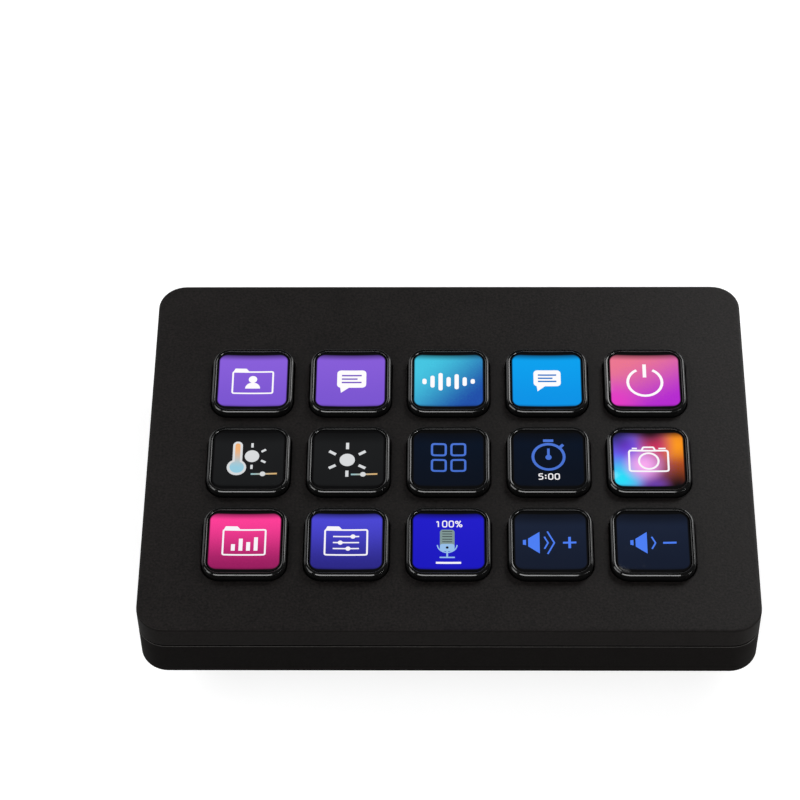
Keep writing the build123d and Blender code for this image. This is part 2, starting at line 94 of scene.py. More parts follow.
# %% Directions round a rounded rectangle
def ring_table(arc_steps, across, upright=None):
    """Leans and turns, counter-clockwise. A point is lean * (half size - radius) + radius * turn.

    The points of the sides lie at shares of the way, or at a number of even steps.
    """
    across = across if np.ndim(across) else np.linspace(0, 1, across + 1)[1:-1]
    upright = across if upright is None else upright
    corners = np.array([(1, 1), (-1, 1), (-1, -1), (1, -1)], float)
    leans, turns = [], []
    for quarter, corner in enumerate(corners):
        angle = np.linspace(0, np.pi / 2, arc_steps + 1) + quarter * np.pi / 2
        arc = np.stack([np.cos(angle), np.sin(angle)], axis=1)
        share = (across, upright)[quarter % 2][:, None]
        run = (1 - share) * corner + share * corners[(quarter + 1) % 4]
        leans += [np.tile(corner, (len(arc), 1)), run]
        turns += [arc, np.tile(arc[-1], (len(run), 1))]
    return np.concatenate(leans), np.concatenate(turns)


def carry(rows, table, middle=(0, 0)):
    """Rings of half x, half y, corner radius and height, one per row, about a middle."""
    lean, turn = table
    rows = np.asarray(rows, float)[:, None]
    flat = lean * (rows[..., :2] - rows[..., 2:3]) + rows[..., 2:3] * turn + middle
    height = np.broadcast_to(rows[..., 3:4], flat.shape[:2] + (1,))
    return np.concatenate([flat, height], axis=2)


key_ring = ring_table(8, 5)
print("points in a key's ring", len(key_ring[0]))

# %% Faces of a grid, and a clean mesh
def grid_faces(rows, columns, closed):
    """Four neighbours of a grid make a face. The columns join up, and closed rows too."""
    index = np.arange(rows * columns).reshape(rows, columns)
    index = np.concatenate([index, index[:, :1]], axis=1)
    index = np.concatenate([index, index[:1]], axis=0) if closed else index
    corners = [index[:-1, :-1], index[:-1, 1:], index[1:, 1:], index[1:, :-1]]
    return np.stack(corners, axis=-1).reshape(-1, 4)


def finish_mesh(mesh, sharp):
    """Joins points that meet, drops faces of no area, and shades smoothly up to an angle."""
    work = bmesh.new()
    work.from_mesh(mesh)
    bmesh.ops.remove_doubles(work, verts=work.verts, dist=join_distance)
    bmesh.ops.dissolve_degenerate(work, dist=least_length, edges=work.edges)
    work.to_mesh(mesh)
    open_edges = sum(len(edge.link_faces) != 2 for edge in work.edges)
    work.free()
    mesh.shade_smooth()
    mesh.set_sharp_from_angle(angle=np.radians(sharp))
    return open_edges


print("a closed grid of 4 x 3 points has", len(grid_faces(4, 3, True)), "faces")

# %% A piece that rides on a body
# The finishes made below, by name. The frame's own plain ones have some of the same names.
materials = {}


def put(name, data):
    """A new object at the origin, linked to the scene."""
    made = bpy.data.objects.new(name, data)
    bpy.context.scene.collection.objects.link(made)
    return made


def make_piece(name, patches, body, slot, finishes=(), stands_for=(), sharp=30):
    """A piece from patches of (points in millimetres, closed rows, number of the finish)."""
    places, faces, numbers, start = [], [], [], 0
    for points, closed, number in patches:
        quads = grid_faces(*points.shape[:2], closed)
        places.append(points.reshape(-1, 3) * mm)
        faces.append(quads + start)
        numbers.append(np.full(len(quads), number))
        start += len(places[-1])
    mesh = bpy.data.meshes.new(name)
    mesh.from_pydata(np.concatenate(places), [], np.concatenate(faces).tolist())
    for finish in finishes or [slot]:
        mesh.materials.append(materials[finish])
    mesh.polygons.foreach_set("material_index", np.concatenate(numbers).astype(np.int32))
    open_edges = finish_mesh(mesh, sharp)
    piece = put(name, mesh)
    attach(piece, body)
    if stands_for:
        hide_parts(*stands_for)
    if open_edges:
        print(name, "has", open_edges, "open edges")
    return piece


# %% [markdown]
# ## Effects that several finishes share
# Moulded grain, handling marks, the lit part of a window and the colours of its picture
# come back in many materials. Each is a node group with its own inputs, built once.

# %% Adding shader nodes
def tone(red, green, blue):
    """A colour written as on a screen, 0 to 255, turned into linear light."""
    part = np.array([red, green, blue]) / 255
    linear = np.where(part <= 0.04045, part / 12.92, ((part + 0.055) / 1.055) ** 2.4)
    return (*linear.tolist(), 1.0)


def feed(tree, made, inputs):
    """Sets inputs of a node to values, or links sockets to them."""
    for place, value in dict(inputs).items():
        if isinstance(value, bpy.types.NodeSocket):
            tree.links.new(value, made.inputs[place])
        else:
            made.inputs[place].default_value = value
    return made


def node(tree, kind, inputs=(), **settings):
    """Adds a shader node with its settings and inputs."""
    made = tree.nodes.new("ShaderNode" + kind)
    for name, value in settings.items():
        setattr(made, name, value)
    return feed(tree, made, inputs)


print("black and white in linear light", tone(0, 0, 0)[0], tone(255, 255, 255)[0])

# %% Results of the nodes that come back most
def value_of(tree, operation, *values, clamp=False):
    """The result of one Math node."""
    inputs = dict(enumerate(values))
    return node(tree, "Math", inputs, operation=operation, use_clamp=clamp).outputs[0]


def vector_of(tree, operation, *values):
    """The result of one Vector Math node; a length and a dot product are single values."""
    made = node(tree, "VectorMath", dict(enumerate(values)), operation=operation)
    return made.outputs["Value" if operation in ("LENGTH", "DOT_PRODUCT") else "Vector"]


def ramp_of(tree, value, low, high, first=0.0, last=1.0):
    """Goes smoothly from first to last while the value goes from low to high."""
    inputs = {"Value": value, "From Min": low, "From Max": high, "To Min": first, "To Max": last}
    return node(tree, "MapRange", inputs, interpolation_type="SMOOTHSTEP").outputs[0]


def blend_of(tree, share, first, second):
    """Mixes two colours."""
    return node(tree, "Mix", {0: share, 6: first, 7: second}, data_type="RGBA").outputs[2]


def noise_of(tree, place, scale, **inputs):
    """A soft noise, about 0.5 on average."""
    return node(tree, "TexNoise", {"Vector": place, "Scale": scale, **inputs}).outputs[0]


def stretch_of(tree, place, scale, middle=(0, 0)):
    """Places counted from a middle, after each axis is scaled."""
    inputs = {"Vector": place, "Scale": scale, "Location": (-middle[0], -middle[1], 0)}
    return node(tree, "Mapping", inputs).outputs[0]


def bump_of(tree, height, strength, distance):
    """The normal of a surface that a height raises a little."""
    inputs = {"Height": height, "Strength": strength, "Distance": distance}
    return node(tree, "Bump", inputs).outputs[0]


# %% Making and using a node group
origin, flat, black, white = (0, 0, 0), (1, 1, 0), (0, 0, 0, 1), (1, 1, 1, 1)


def make_group(name, inputs, outputs):
    """An empty node group. The length of a start value tells a number, vector and colour apart."""
    group = bpy.data.node_groups.new(name, "ShaderNodeTree")
    for in_out, sockets in (("INPUT", inputs), ("OUTPUT", outputs)):
        for title, start in sockets.items():
            kind = {1: "Float", 3: "Vector", 4: "Color"}[np.size(start)]
            group.interface.new_socket(
                title, in_out=in_out, socket_type="NodeSocket" + kind).default_value = start
    return group, group.nodes.new("NodeGroupInput").outputs, group.nodes.new("NodeGroupOutput")


def use_group(tree, name, inputs):
    """Places a node group in a material and gives its outputs."""
    made = node(tree, "Group", node_tree=bpy.data.node_groups[name])
    return feed(tree, made, inputs).outputs


print("node groups before ours", len(bpy.data.node_groups))

# %% Group: moulded grain
tree, given, result = make_group(
    "moulded_grain",
    {"Place": origin, "Colour": (0.1, 0.1, 0.1, 1), "Roughness": 0.5, "Grain size": 0.25,
     "Unevenness": 0.15},
    {"Colour": black, "Roughness": 0.0, "Height": 0.0},
)
speck_share, drift_share, rough_share, least_lift = 4.4, 0.5, 0.12, 0.1
per_metre = value_of(tree, "DIVIDE", 1000.0, given["Grain size"])
fine = noise_of(tree, given["Place"], per_metre, Detail=3.0, Roughness=0.6)
drift = value_of(tree, "SUBTRACT", noise_of(tree, given["Place"], 150.0, Detail=3.0), 0.5)
speck = value_of(tree, "SUBTRACT", fine, 0.5)
both = value_of(tree, "MULTIPLY_ADD", speck, speck_share,
                value_of(tree, "MULTIPLY", drift, drift_share))
lift = value_of(tree, "MULTIPLY_ADD", both, given["Unevenness"], 1.0)
lift = value_of(tree, "MAXIMUM", lift, least_lift)
shade = node(tree, "VectorMath", {0: given["Colour"], 3: lift}, operation="SCALE").outputs[0]
rough = value_of(tree, "MULTIPLY_ADD", drift, rough_share, given["Roughness"])
feed(tree, result, {"Colour": shade, "Roughness": rough, "Height": fine})
print("group", tree.name)

# %% Group: handling marks on gloss
tree, given, result = make_group(
    "handling_marks",
    {"Place": origin, "Clean": 0.05, "Touched": 0.2},
    {"Roughness": 0.0},
)
swirl = noise_of(tree, given["Place"], 260.0, Detail=4.0, Distortion=1.2)
span = value_of(tree, "SUBTRACT", given["Touched"], given["Clean"])
spread = ramp_of(tree, swirl, 0.45, 0.75)
feed(tree, result, {"Roughness": value_of(tree, "MULTIPLY_ADD", span, spread, given["Clean"])})
print("group", tree.name)

# %% Group: the lit part of a window, with painted shade at its top and bottom edges
tree, given, result = make_group(
    "lit_part_with_painted_shade",
    {"Place": origin, "Half width": 6.92, "Half height": 6.55, "Corner": 1.75,
     "Softness": 0.3, "Fade": 1.6},
    {"Mask": 0.0},
)
size = node(tree, "CombineXYZ", {0: given["Half width"], 1: given["Half height"]}).outputs[0]
tip = node(tree, "CombineXYZ", {0: given["Corner"], 1: given["Corner"]}).outputs[0]
inner = vector_of(tree, "SUBTRACT", size, tip)
over = vector_of(tree, "SUBTRACT", vector_of(tree, "ABSOLUTE", given["Place"]), inner)
over = vector_of(tree, "MULTIPLY", vector_of(tree, "MAXIMUM", over, origin), flat)
depth = value_of(tree, "SUBTRACT", given["Corner"], vector_of(tree, "LENGTH", over))
edge = ramp_of(tree, depth, 0.0, given["Softness"])
upright = node(tree, "SeparateXYZ", {0: given["Place"]}).outputs[1]
far = value_of(tree, "SUBTRACT", given["Half height"], upright)
near = value_of(tree, "ADD", given["Half height"], upright)
# Painted shade: the picture darkens towards its top and bottom edges, as if the rim shaded the
# display.
far_level, near_level, near_fade = 0.3, 0.55, 0.8
painted_rim_shade = value_of(tree, "MULTIPLY", ramp_of(tree, far, 0.0, given["Fade"], far_level),
                  ramp_of(tree, near, 0.0, near_fade, near_level))
feed(tree, result, {"Mask": value_of(tree, "MULTIPLY", edge, painted_rim_shade)})
print("group", tree.name)

# %% Groups: colours of a display picture
tree, given, result = make_group(
    "slanted_blend",
    {"Place": origin, "Direction": (0, 1, 0), "Start": black, "End": white},
    {"Colour": black},
)
reach, ripple_rise = 6.5, 0.08
way = vector_of(tree, "DOT_PRODUCT", given["Place"], given["Direction"])
cells = noise_of(tree, given["Place"], 5.0, Detail=0.0)
ripple = value_of(tree, "MULTIPLY_ADD", cells, 2 * ripple_rise, -ripple_rise)
share = value_of(tree, "ADD", ramp_of(tree, way, -reach, reach), ripple, clamp=True)
feed(tree, result, {"Colour": blend_of(tree, share, given["Start"], given["End"])})
print("group", tree.name)

tree, given, result = make_group(
    "soft_spot",
    {"Place": origin, "Middle": origin, "Size": 5.0, "Ground": black, "Spot": white},
    {"Colour": black},
)
gap = vector_of(tree, "SUBTRACT", given["Place"], given["Middle"])
gap = vector_of(tree, "LENGTH", vector_of(tree, "MULTIPLY", gap, flat))
near = ramp_of(tree, gap, 0.0, given["Size"], 1.0, 0.0)
feed(tree, result, {"Colour": blend_of(tree, near, given["Ground"], given["Spot"])})
print("group", tree.name)

# %% [markdown]
# ## Finishes
# The case is spark-eroded black plastic: dull, with a fine grain and a slight drift in
# tone. The face, the skirt's sides and the rear shell are the same plastic, but the skirt's
# sides get a less reflective copy and the rear shell a darker one, as painted shade, so these
# are finishes of their own. The seam has a near-black ledge, painted shade, under a lighter
# edge, a painted highlight that also stands for edge wear. One function builds every moulded
# or coated finish from the grain group, and the parts differ only in their values.

# %% Plain finishes
def open_material(name, **constants):
    """A material with one Principled BSDF whose constant sockets are set directly."""
    materials[name] = bpy.data.materials.new(name)
    materials[name].use_nodes = True
    tree = materials[name].node_tree
    shader = tree.nodes["Principled BSDF"]
    for socket, value in constants.items():
        shader.inputs[socket.replace("_", " ")].default_value = value
    return tree, shader, node(tree, "TexCoord").outputs["Object"]


def grained(name, colour, roughness, grain_size, unevenness, bump, **constants):
    """A finish with moulded grain in its colour, roughness and height."""
    tree, shader, place = open_material(name, **constants)
    grain = use_group(tree, "moulded_grain", {
        "Place": place, "Colour": tone(*colour), "Roughness": roughness,
        "Grain size": grain_size, "Unevenness": unevenness})
    feed(tree, shader, {"Base Color": grain["Colour"], "Roughness": grain["Roughness"],
                        "Normal": bump_of(tree, grain["Height"], bump, 0.02 * mm)})


# Name, colour, roughness, grain size, unevenness, bump and specular level
for name, *values, shine in (
    ("case_plastic", (20, 17, 16), 0.48, 0.44, 1.0, 1.0, 0.2),
    # The skirt's sides: the case plastic with less reflection, painted shade on the sides.
    ("shaded_side_plastic", (20, 18, 17), 0.6, 0.36, 0.35, 0.5, 0.05),
    # The rear shell: darker than the case plastic, painted shade on the lower body.
    ("shaded_rear_plastic", (12, 10, 9), 0.7, 0.36, 0.35, 0.5, 0.04),
    # The seam's ledge: near black, painted shade in the joint.
    ("seam_painted_shade", (5, 4, 4), 0.8, 0.36, 0.35, 0.2, 0.02),
    # The rounded edges: lighter, a painted highlight that also stands for edge wear.
    ("edge_highlight_and_wear", (36, 34, 32), 0.45, 0.36, 0.7, 0.2, 0.3),
    ("guide_plastic", (30, 30, 32), 0.5, 0.3, 0.2, 0.4, 0.5),
    ("gasket_foam", (22, 22, 24), 0.9, 0.35, 0.5, 1.0, 0.5),
    ("chip_plastic", (24, 24, 26), 0.4, 0.15, 0.2, 0.3, 0.5),
    ("socket_plastic", (222, 214, 196), 0.45, 0.3, 0.08, 0.2, 0.5),
    ("foot_rubber", (24, 24, 25), 0.75, 0.12, 0.3, 0.8, 0.3),
):
    grained(name, *values, Specular_IOR_Level=shine)
grained("silicone", (205, 208, 205), 0.45, 0.6, 0.1, 0.2,
        Subsurface_Weight=0.3, Subsurface_Scale=0.001)
print("plain finishes", list(materials))

# %% [markdown]
# Steel and gold are metals: their colour belongs to the reflection. Drawn steel shows fine
# lines along its length, so a noise that is stretched along one axis sets the roughness.

# %% Metals
def metal(name, colour, roughness, stretch):
    """Bright metal with fine drawn lines along the axis whose stretch is smallest."""
    tree, shader, place = open_material(name, Metallic=1.0)
    drawn = noise_of(tree, stretch_of(tree, place, stretch), 1.0, Detail=4.0)
    shade = blend_of(tree, drawn, tone(*colour), tone(*[c * 0.8 for c in colour]))
    feed(tree, shader, {
        "Base Color": shade, "Normal": bump_of(tree, drawn, 0.15, 0.01 * mm),
        "Roughness": ramp_of(tree, drawn, 0.3, 0.7, roughness - 0.08, roughness + 0.1)})


metal("port_steel", (196, 194, 190), 0.28, (4000, 300, 4000))
metal("screw_steel", (70, 70, 72), 0.35, (5000, 5000, 800))
metal("pressed_steel", (176, 178, 180), 0.38, (200, 5000, 5000))
metal("contact_gold", (226, 178, 92), 0.3, (3000, 3000, 3000))
print("finishes with the metals", len(materials))

# %% [markdown]
# The boards carry a green mask over copper tracks, the display glass shows its dark cells,
# the backlight is a white sheet and the ribbon cables are amber film over copper lines.

# %% Boards, ribbon and display
def striped(name, first, second, scale, low, high, roughness):
    """Two tones parted by square cells, which a stretch along one axis turns into lines."""
    tree, shader, place = open_material(name, Roughness=roughness)
    cell = node(tree, "TexVoronoi", {"Vector": stretch_of(tree, place, scale), "Scale": 1.0},
                distance="CHEBYCHEV", feature="F1")
    share = ramp_of(tree, cell.outputs["Distance"], low, high)
    feed(tree, shader, {"Base Color": blend_of(tree, share, tone(*first), tone(*second)),
                        "Normal": bump_of(tree, share, 0.4, 0.02 * mm)})


striped("circuit_board", (18, 78, 44), (30, 104, 60), (700, 700, 700), 0.25, 0.4, 0.35)
striped("ribbon_cable", (186, 112, 40), (150, 84, 30), (2000, 1, 1), 0.2, 0.4, 0.35)
striped("display_glass", (10, 11, 14), (16, 17, 22), (5000, 5000, 5000), 0.3, 0.5, 0.08)
striped("backlight", (236, 238, 240), (214, 218, 222), (1200, 1200, 1200), 0.2, 0.5, 0.5)
print("finishes with the patterned ones", len(materials))

# %% Give the construction nodes inside the case their finishes
inside = {
    "key_guide_frame": "guide_plastic", "contact_board": "circuit_board",
    "contact_rings": "contact_gold", "display_gasket": "gasket_foam",
    "display_glass": "display_glass", "display_backlight": "backlight",
    "display_tray": "pressed_steel", "main_board": "circuit_board",
    "board_chips": "chip_plastic", "flex_sockets": "socket_plastic",
    "display_flex": "ribbon_cable", "matrix_flex": "ribbon_cable",
}
for name, finish in inside.items():
    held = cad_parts[name]
    if not held.material_slots:
        held.data.materials.append(None)
    for place in held.material_slots:
        place.material = materials[finish]
print("dressed", len(inside), "construction nodes")

# %% [markdown]
# ## Faceplate
# One moulded plate with a skirt and fifteen rounded holes. A plane with holes cut in it
# shades badly, so every hole gets its own ring grid that runs from a square cell down
# through the hole and back under the plate. The cells join edge to edge, and one more band
# carries the skirt's section round them.

# %% Profile rows and fillets
def rows_of(half_x, half_y, radius, least_radius=0.0):
    """Gives a function for profile rows: the ring of an outline, moved inwards, at a height."""
    def row(inset, z):
        return (half_x - inset, half_y - inset, max(radius - inset, least_radius), z)
    return row


def fillet(start, corner, end, steps=4):
    """Rows from start to end that bend round the corner: a quadratic curve through three rows."""
    share = np.linspace(0, 1, steps + 1)[:, None]
    start, corner, end = (np.array(row, float) for row in (start, corner, end))
    return list((1 - share) ** 2 * start + 2 * share * (1 - share) * corner + share**2 * end)


print("a fillet has", len(fillet((0, 0), (1, 0), (1, 1))), "rows")

# %% Cells round the key holes
hole_half, hole_radius, plate_thickness = 8.28, 3.75, 1.8
under_z = face_z - plate_thickness
hole_row = rows_of(hole_half, hole_half, hole_radius)
square = (key_ring[0], key_ring[1] / np.abs(key_ring[1]).max(axis=1, keepdims=True))
cell_row = (key_pitch / 2, key_pitch / 2, hole_radius + key_pitch / 2 - hole_half)


def cell_patch(high, rows, low, middle):
    """A square cell at one height, the rows of its hole, and the cell at another height."""
    rings = [carry([(*cell_row, high)], square, middle), carry(rows, key_ring, middle),
             carry([(*cell_row, low)], square, middle)]
    return np.concatenate(rings), False, 0


hole_rows = [
    hole_row(-0.3, face_z),
    *fillet(hole_row(-0.1, face_z), hole_row(0, face_z), hole_row(0, face_z - 0.1)),
    hole_row(0, face_z - 0.4), hole_row(0, under_z),
]
plate_patches = [cell_patch(face_z, hole_rows, under_z, middle) for middle in key_middle.values()]
print("cells", len(plate_patches), "of", plate_patches[0][0].shape)

# %% Band round the cells: top, skirt and underside
def side_shares(count):
    """Shares of the way along a side of so many cells at which the cells have edge points."""
    ring = carry([(*cell_row, 0)], square)[0, :, :2]
    edge = np.unique(np.round(ring[np.isclose(ring[:, 0], key_pitch / 2), 1], 6))
    along = np.concatenate([edge + key_pitch * (cell - (count - 1) / 2) for cell in range(count)])
    return (np.unique(np.round(along, 5)) / (count * key_pitch) + 0.5)[1:-1]


seam_gap = 0.18
skirt_low = skirt_z + seam_gap
case_row = rows_of(*case_half, case_corner)
skirt_rows = [
    case_row(case_wall, under_z), case_row(case_wall, skirt_low), case_row(0.3, skirt_low),
    *fillet(case_row(0.12, skirt_low), case_row(0, skirt_low), case_row(0, skirt_low + 0.12), 2),
    case_row(0, skirt_low + 0.3), case_row(0, face_z - 0.8),
    *fillet(case_row(0, face_z - 0.35), case_row(0, face_z), case_row(0.35, face_z), 5),
    case_row(0.7, face_z),
]
band = ring_table(10, side_shares(columns), side_shares(rows))
rings = np.concatenate([carry([(*field_row, under_z)], band, field_middle),
                        carry(skirt_rows, band),
                        carry([(*field_row, face_z)], band, field_middle)])
plate_patches += [(rings[:-4], False, 1), (rings[-5:], False, 0)]
print("band", rings.shape)

# %% Snap ridges inside the skirt, and the piece
ridge_rise, ridge_half_length, ridge_spread = 1.1, 4.5, 36


def ridge(x, y, side):
    """A ridge of triangular section along x, against the inner wall at y; both ends are closed."""
    section = np.array([(0, -0.5), (0, 0.5), (-0.5, 0)]) * (side, 1)
    along = ridge_half_length * np.array([-1, -1, 1, 1])[:, None, None]
    scale = np.array([0, 1, 1, 0])[:, None, None]
    centre = np.array([(-0.1 * side, 0)])
    flat = centre + (section - centre) * scale
    points = np.concatenate([np.broadcast_to(along, (4, 3, 1)), flat], axis=2)
    points = points[::-1] if side < 0 else points
    return points + (x, y, skirt_z + ridge_rise), False, 0


plate_patches += [ridge(x, side * (case_half[1] - case_wall), side)
                  for side in (1, -1) for x in (-ridge_spread, 0, ridge_spread)]
faceplate_shell = make_piece("faceplate_shell", plate_patches, "base", "case_plastic",
                             ["case_plastic", "shaded_side_plastic"], ["faceplate"])
print("faceplate faces", len(faceplate_shell.data.polygons))

# %% [markdown]
# ## Rear housing
# The lower shell has a lip, posts, clips and seats that the construction model already
# gives exactly. A copy of that mesh is merged and cleaned, and a Bevel modifier rounds only
# the outer edges, which are picked by where they lie. The rounded strips take a lighter
# finish, a painted highlight that also stands for edge wear, and the ledge inside the seam a
# near-black one, painted shade, so that the seam is a thin dark gap over a light edge.

# %% Rear shell's outer edges
ledge_z, hump_under_z = 18.0, 0.8
slab_levels = np.array([[9.2], [9.6]])
lip_inset, lip_corner, closeness = 1.4, 4.6, 0.01


def outer_edges(mesh):
    """Weight 1 for edges on the outside: at the seam, the slab's lower edge and the hump."""
    places = np.empty(len(mesh.vertices) * 3)
    mesh.vertices.foreach_get("co", places)
    x, y, z = np.abs(places.reshape(-1, 3).T) / mm
    past_x, past_y = x - case_half[0], y - case_half[1]
    outside = (past_x > -lip_inset) | (past_y > -lip_inset) | (past_x + past_y > -lip_corner)
    seam = (np.abs(z - ledge_z) < closeness) & outside
    under = (z < hump_under_z + closeness) | (np.abs(z - slab_levels) < closeness).any(axis=0)
    chosen = (seam | under).astype(float)
    ends = np.empty(len(mesh.edges) * 2, np.int32)
    mesh.edges.foreach_get("vertices", ends)
    return chosen[ends].reshape(-1, 2).min(axis=1)


shell_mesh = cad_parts["rear_housing"].data.copy()
work = bmesh.new()
work.from_mesh(shell_mesh)
bmesh.ops.remove_doubles(work, verts=work.verts, dist=join_distance)
bmesh.ops.dissolve_limit(work, angle_limit=np.radians(0.5), verts=work.verts, edges=work.edges)
work.to_mesh(shell_mesh)
turned = np.array([edge.calc_face_angle(0.0) > np.radians(25) for edge in work.edges])
work.free()
rounded = (outer_edges(shell_mesh) * turned).astype(np.float32)
weights = shell_mesh.attributes.new("bevel_weight_edge", "FLOAT", "EDGE")
weights.data.foreach_set("value", rounded)
print("rear shell faces", len(shell_mesh.polygons), "rounded edges", int(rounded.sum()))

# %% Rear shell's finishes, and the piece
shell_mesh.shade_smooth()
shell_mesh.set_sharp_from_angle(angle=np.radians(30))
shell_mesh.materials.clear()
for finish in ("shaded_rear_plastic", "edge_highlight_and_wear", "seam_painted_shade"):
    shell_mesh.materials.append(materials[finish])
middles, faced = np.empty((2, len(shell_mesh.polygons) * 3))
shell_mesh.polygons.foreach_get("center", middles)
shell_mesh.polygons.foreach_get("normal", faced)
# Painted shade: the upward faces of the ledge at the seam take the near-black finish.
ledge = (np.abs(middles[2::3] / mm - ledge_z) < closeness) & (faced[2::3] > 0.9)
shell_mesh.polygons.foreach_set("material_index", np.where(ledge, 2, 0).astype(np.int32))
rear_shell = put("rear_shell", shell_mesh)
soften = rear_shell.modifiers.new("soft edges", "BEVEL")
soften.limit_method = "WEIGHT"
soften.width = 0.12 * mm
soften.segments = 2
# Painted highlight: the bevel's strips take the lighter finish, which also stands for edge wear.
soften.material = 1
soften.use_clamp_overlap = False
soften.harden_normals = True
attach(rear_shell, "base")
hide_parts("rear_housing")
print("ledge faces", int(ledge.sum()))

# %% [markdown]
# ## Keys
# A key is a glossy black rim that holds a clear window. The rim's section climbs over a
# narrow chamfer to a crown and falls away to the window, and the chamfer and the crown
# catch the light as thin lines. The section is carried round the key once, and the same
# rings serve all fifteen keys.

# %% Rim section
key_half, key_radius = 8.1, 3.5
flange_reach, flange_thickness = 0.75, 1.2
flange_z = flange_under_z + flange_thickness
rim_row = rows_of(key_half, key_half, key_radius, least_radius=0.8)


def crown(start, end, last, steps):
    """The rim's top: its slope grows evenly from 0 to last, so its drop grows with the square."""
    across = np.linspace(start, end, steps)
    return zip(across, last * (across - start) ** 2 / (2 * (end - start)))


rim_falls = [
    (0, 2.0), (0.03, 1.2), (0.08, 0.5), (0.12, 0.25), (0.136, 0.195), (0.142, 0.19),
    (0.21, 0.129), (0.216, 0.124), (0.26, 0.083), (0.3, 0.052), (0.34, 0.029), (0.38, 0.013),
    (0.42, 0.003), *crown(0.45, 0.79, 0.36, 5), (0.83, 0.14), (0.96, 0.55),
]
rim_rows = [
    rim_row(-flange_reach, flange_under_z), rim_row(-flange_reach, flange_z), rim_row(0, flange_z),
    *[rim_row(inset, crest_z - fall) for inset, fall in rim_falls], rim_row(0.97, flange_under_z),
]
print("rim rows", len(rim_rows))

# %% Window surface
window_half, window_radius = 7.09, 2.55
dish_radius, dish_depth, window_side = 90.0, 0.66, 1.4


def dish(x, y):
    """Height of the window's hollow: a bowl, square of the distance over twice its radius."""
    return crest_z - dish_depth + (x**2 + y**2) / (2 * dish_radius)


def window_points():
    """Closed block: rings shrink over the dished top, and the lower rings close the underside."""
    shares = np.array([0, 1, 1, 1, 0.98, 0.9, 0.8, 0.7, 0.6, 0.5, 0.4, 0.3, 0.2, 0.1, 0])
    rows = [(window_half * s, window_half * s, window_radius * s, 0) for s in shares]
    points = carry(rows, key_ring)
    points[..., 2] = dish(points[..., 0], points[..., 1])
    points[:2, :, 2] = flange_under_z
    points[2, :, 2] = crest_z - window_side
    return points


print("window height in the middle and at a side", dish(0, 0), dish(window_half, 0))

# %% [markdown]
# ## Pictures
# Each window shows its own colours. They glow from the window's own material, with a soft
# painted shade at the edges where the rim would shade the display, so the gloss of the window
# stays over them.
# Every picture is generic: plain colours behind plain signs.

# %% Gloss over black, and over a picture
up = (0, 1, 0)
picture_shift = (0, 0.08)
dark_picture = 60


def marks_of(tree, place, clean, touched):
    """The roughness of gloss that has been handled."""
    inputs = {"Place": place, "Clean": clean, "Touched": touched}
    return use_group(tree, "handling_marks", inputs)["Roughness"]


def lit_gloss(name, start, end, direction=up, middle=(0, 0), spots=(), window=False):
    """Gloss over a glowing blend of two colours about a middle, in millimetres.

    A window has soft spots of colour too, and shows its picture inside the lit part only.
    """
    tree, shader, place = open_material(name, Emission_Strength=1.0)
    centred = stretch_of(tree, place, (1000, 1000, 1000), middle)
    colour = use_group(tree, "slanted_blend", {
        "Place": centred, "Direction": direction,
        "Start": tone(*start), "End": tone(*end)})["Colour"]
    for spot_middle, size, spot in spots:
        colour = use_group(tree, "soft_spot", {
            "Place": centred, "Middle": spot_middle, "Size": size,
            "Ground": colour, "Spot": tone(*spot)})["Colour"]
    marks = share = marks_of(tree, place, 0.04, 0.12)
    if window:
        # Painted shade: dark pictures darken over a longer reach below their top edge.
        fade = 1.6 if max(*start, *end) > dark_picture else 3.2
        mask = use_group(tree, "lit_part_with_painted_shade", {"Place": centred, "Fade": fade})["Mask"]
        colour = blend_of(tree, mask, black, colour)
        share = noise_of(tree, place, 300.0)
    gloss = blend_of(tree, share, tone(3, 3, 4), tone(6, 6, 7))
    feed(tree, shader, {"Emission Color": colour, "Roughness": marks, "Base Color": gloss})


tree, shader, place = open_material("key_rim")
shade = noise_of(tree, place, 400.0, Detail=2.0)
feed(tree, shader, {"Roughness": marks_of(tree, place, 0.1, 0.2),
                    "Base Color": blend_of(tree, shade, tone(7, 7, 7), tone(9.1, 9.1, 9.1))})
print("gloss finish", list(materials)[-1])

# %% Picture colours
pictures = {
    "r1c1": ((122, 84, 208), (136, 94, 218), up),
    "r1c2": ((122, 84, 208), (134, 92, 216), up),
    "r1c3": ((68, 198, 226), (28, 76, 168), (0.66, -0.6, 0)),
    "r1c4": ((0, 146, 230), (0, 160, 238), up),
    "r1c5": ((236, 118, 144), (180, 38, 208), (0.4, -0.82, 0)),
    "r2c1": ((20, 21, 22), (24, 25, 26), up),
    "r2c2": ((20, 21, 22), (24, 25, 26), up),
    "r2c3": ((0, 8, 24), (0, 13, 32), up),
    "r2c4": ((0, 8, 24), (0, 13, 32), up),
    "r2c5": ((100, 96, 240), (190, 84, 24), (1, 0.1, 0)),
    "r3c1": ((150, 24, 92), (255, 62, 152), up),
    "r3c2": ((40, 36, 132), (74, 70, 212), up),
    "r3c3": ((22, 18, 190), (30, 24, 200), up),
    "r3c4": ((14, 23, 42), (21, 31, 52), up),
    "r3c5": ((14, 23, 42), (21, 31, 52), up),
}
picture_spots = {
    "r1c5": [((-6.4, -5.4, 0), 7.5, (228, 58, 196))],
    "r2c5": [((-5.6, -4.6, 0), 6.6, (36, 222, 248)), ((-4.4, 3.4, 0), 3.6, (110, 62, 214)),
             ((5.6, 3.6, 0), 5.2, (252, 152, 26)), ((1.4, 3.6, 0), 4.6, (206, 52, 96)),
             ((0.4, 7.0, 0), 4.6, (60, 16, 26)), ((-7.0, 6.6, 0), 6.0, (30, 22, 70)),
             ((5.6, -6.6, 0), 8.2, (12, 6, 12)), ((1.0, -6.6, 0), 4.0, (104, 60, 170)),
             ((-1.0, -1.2, 0), 5.0, (250, 170, 240))],
}
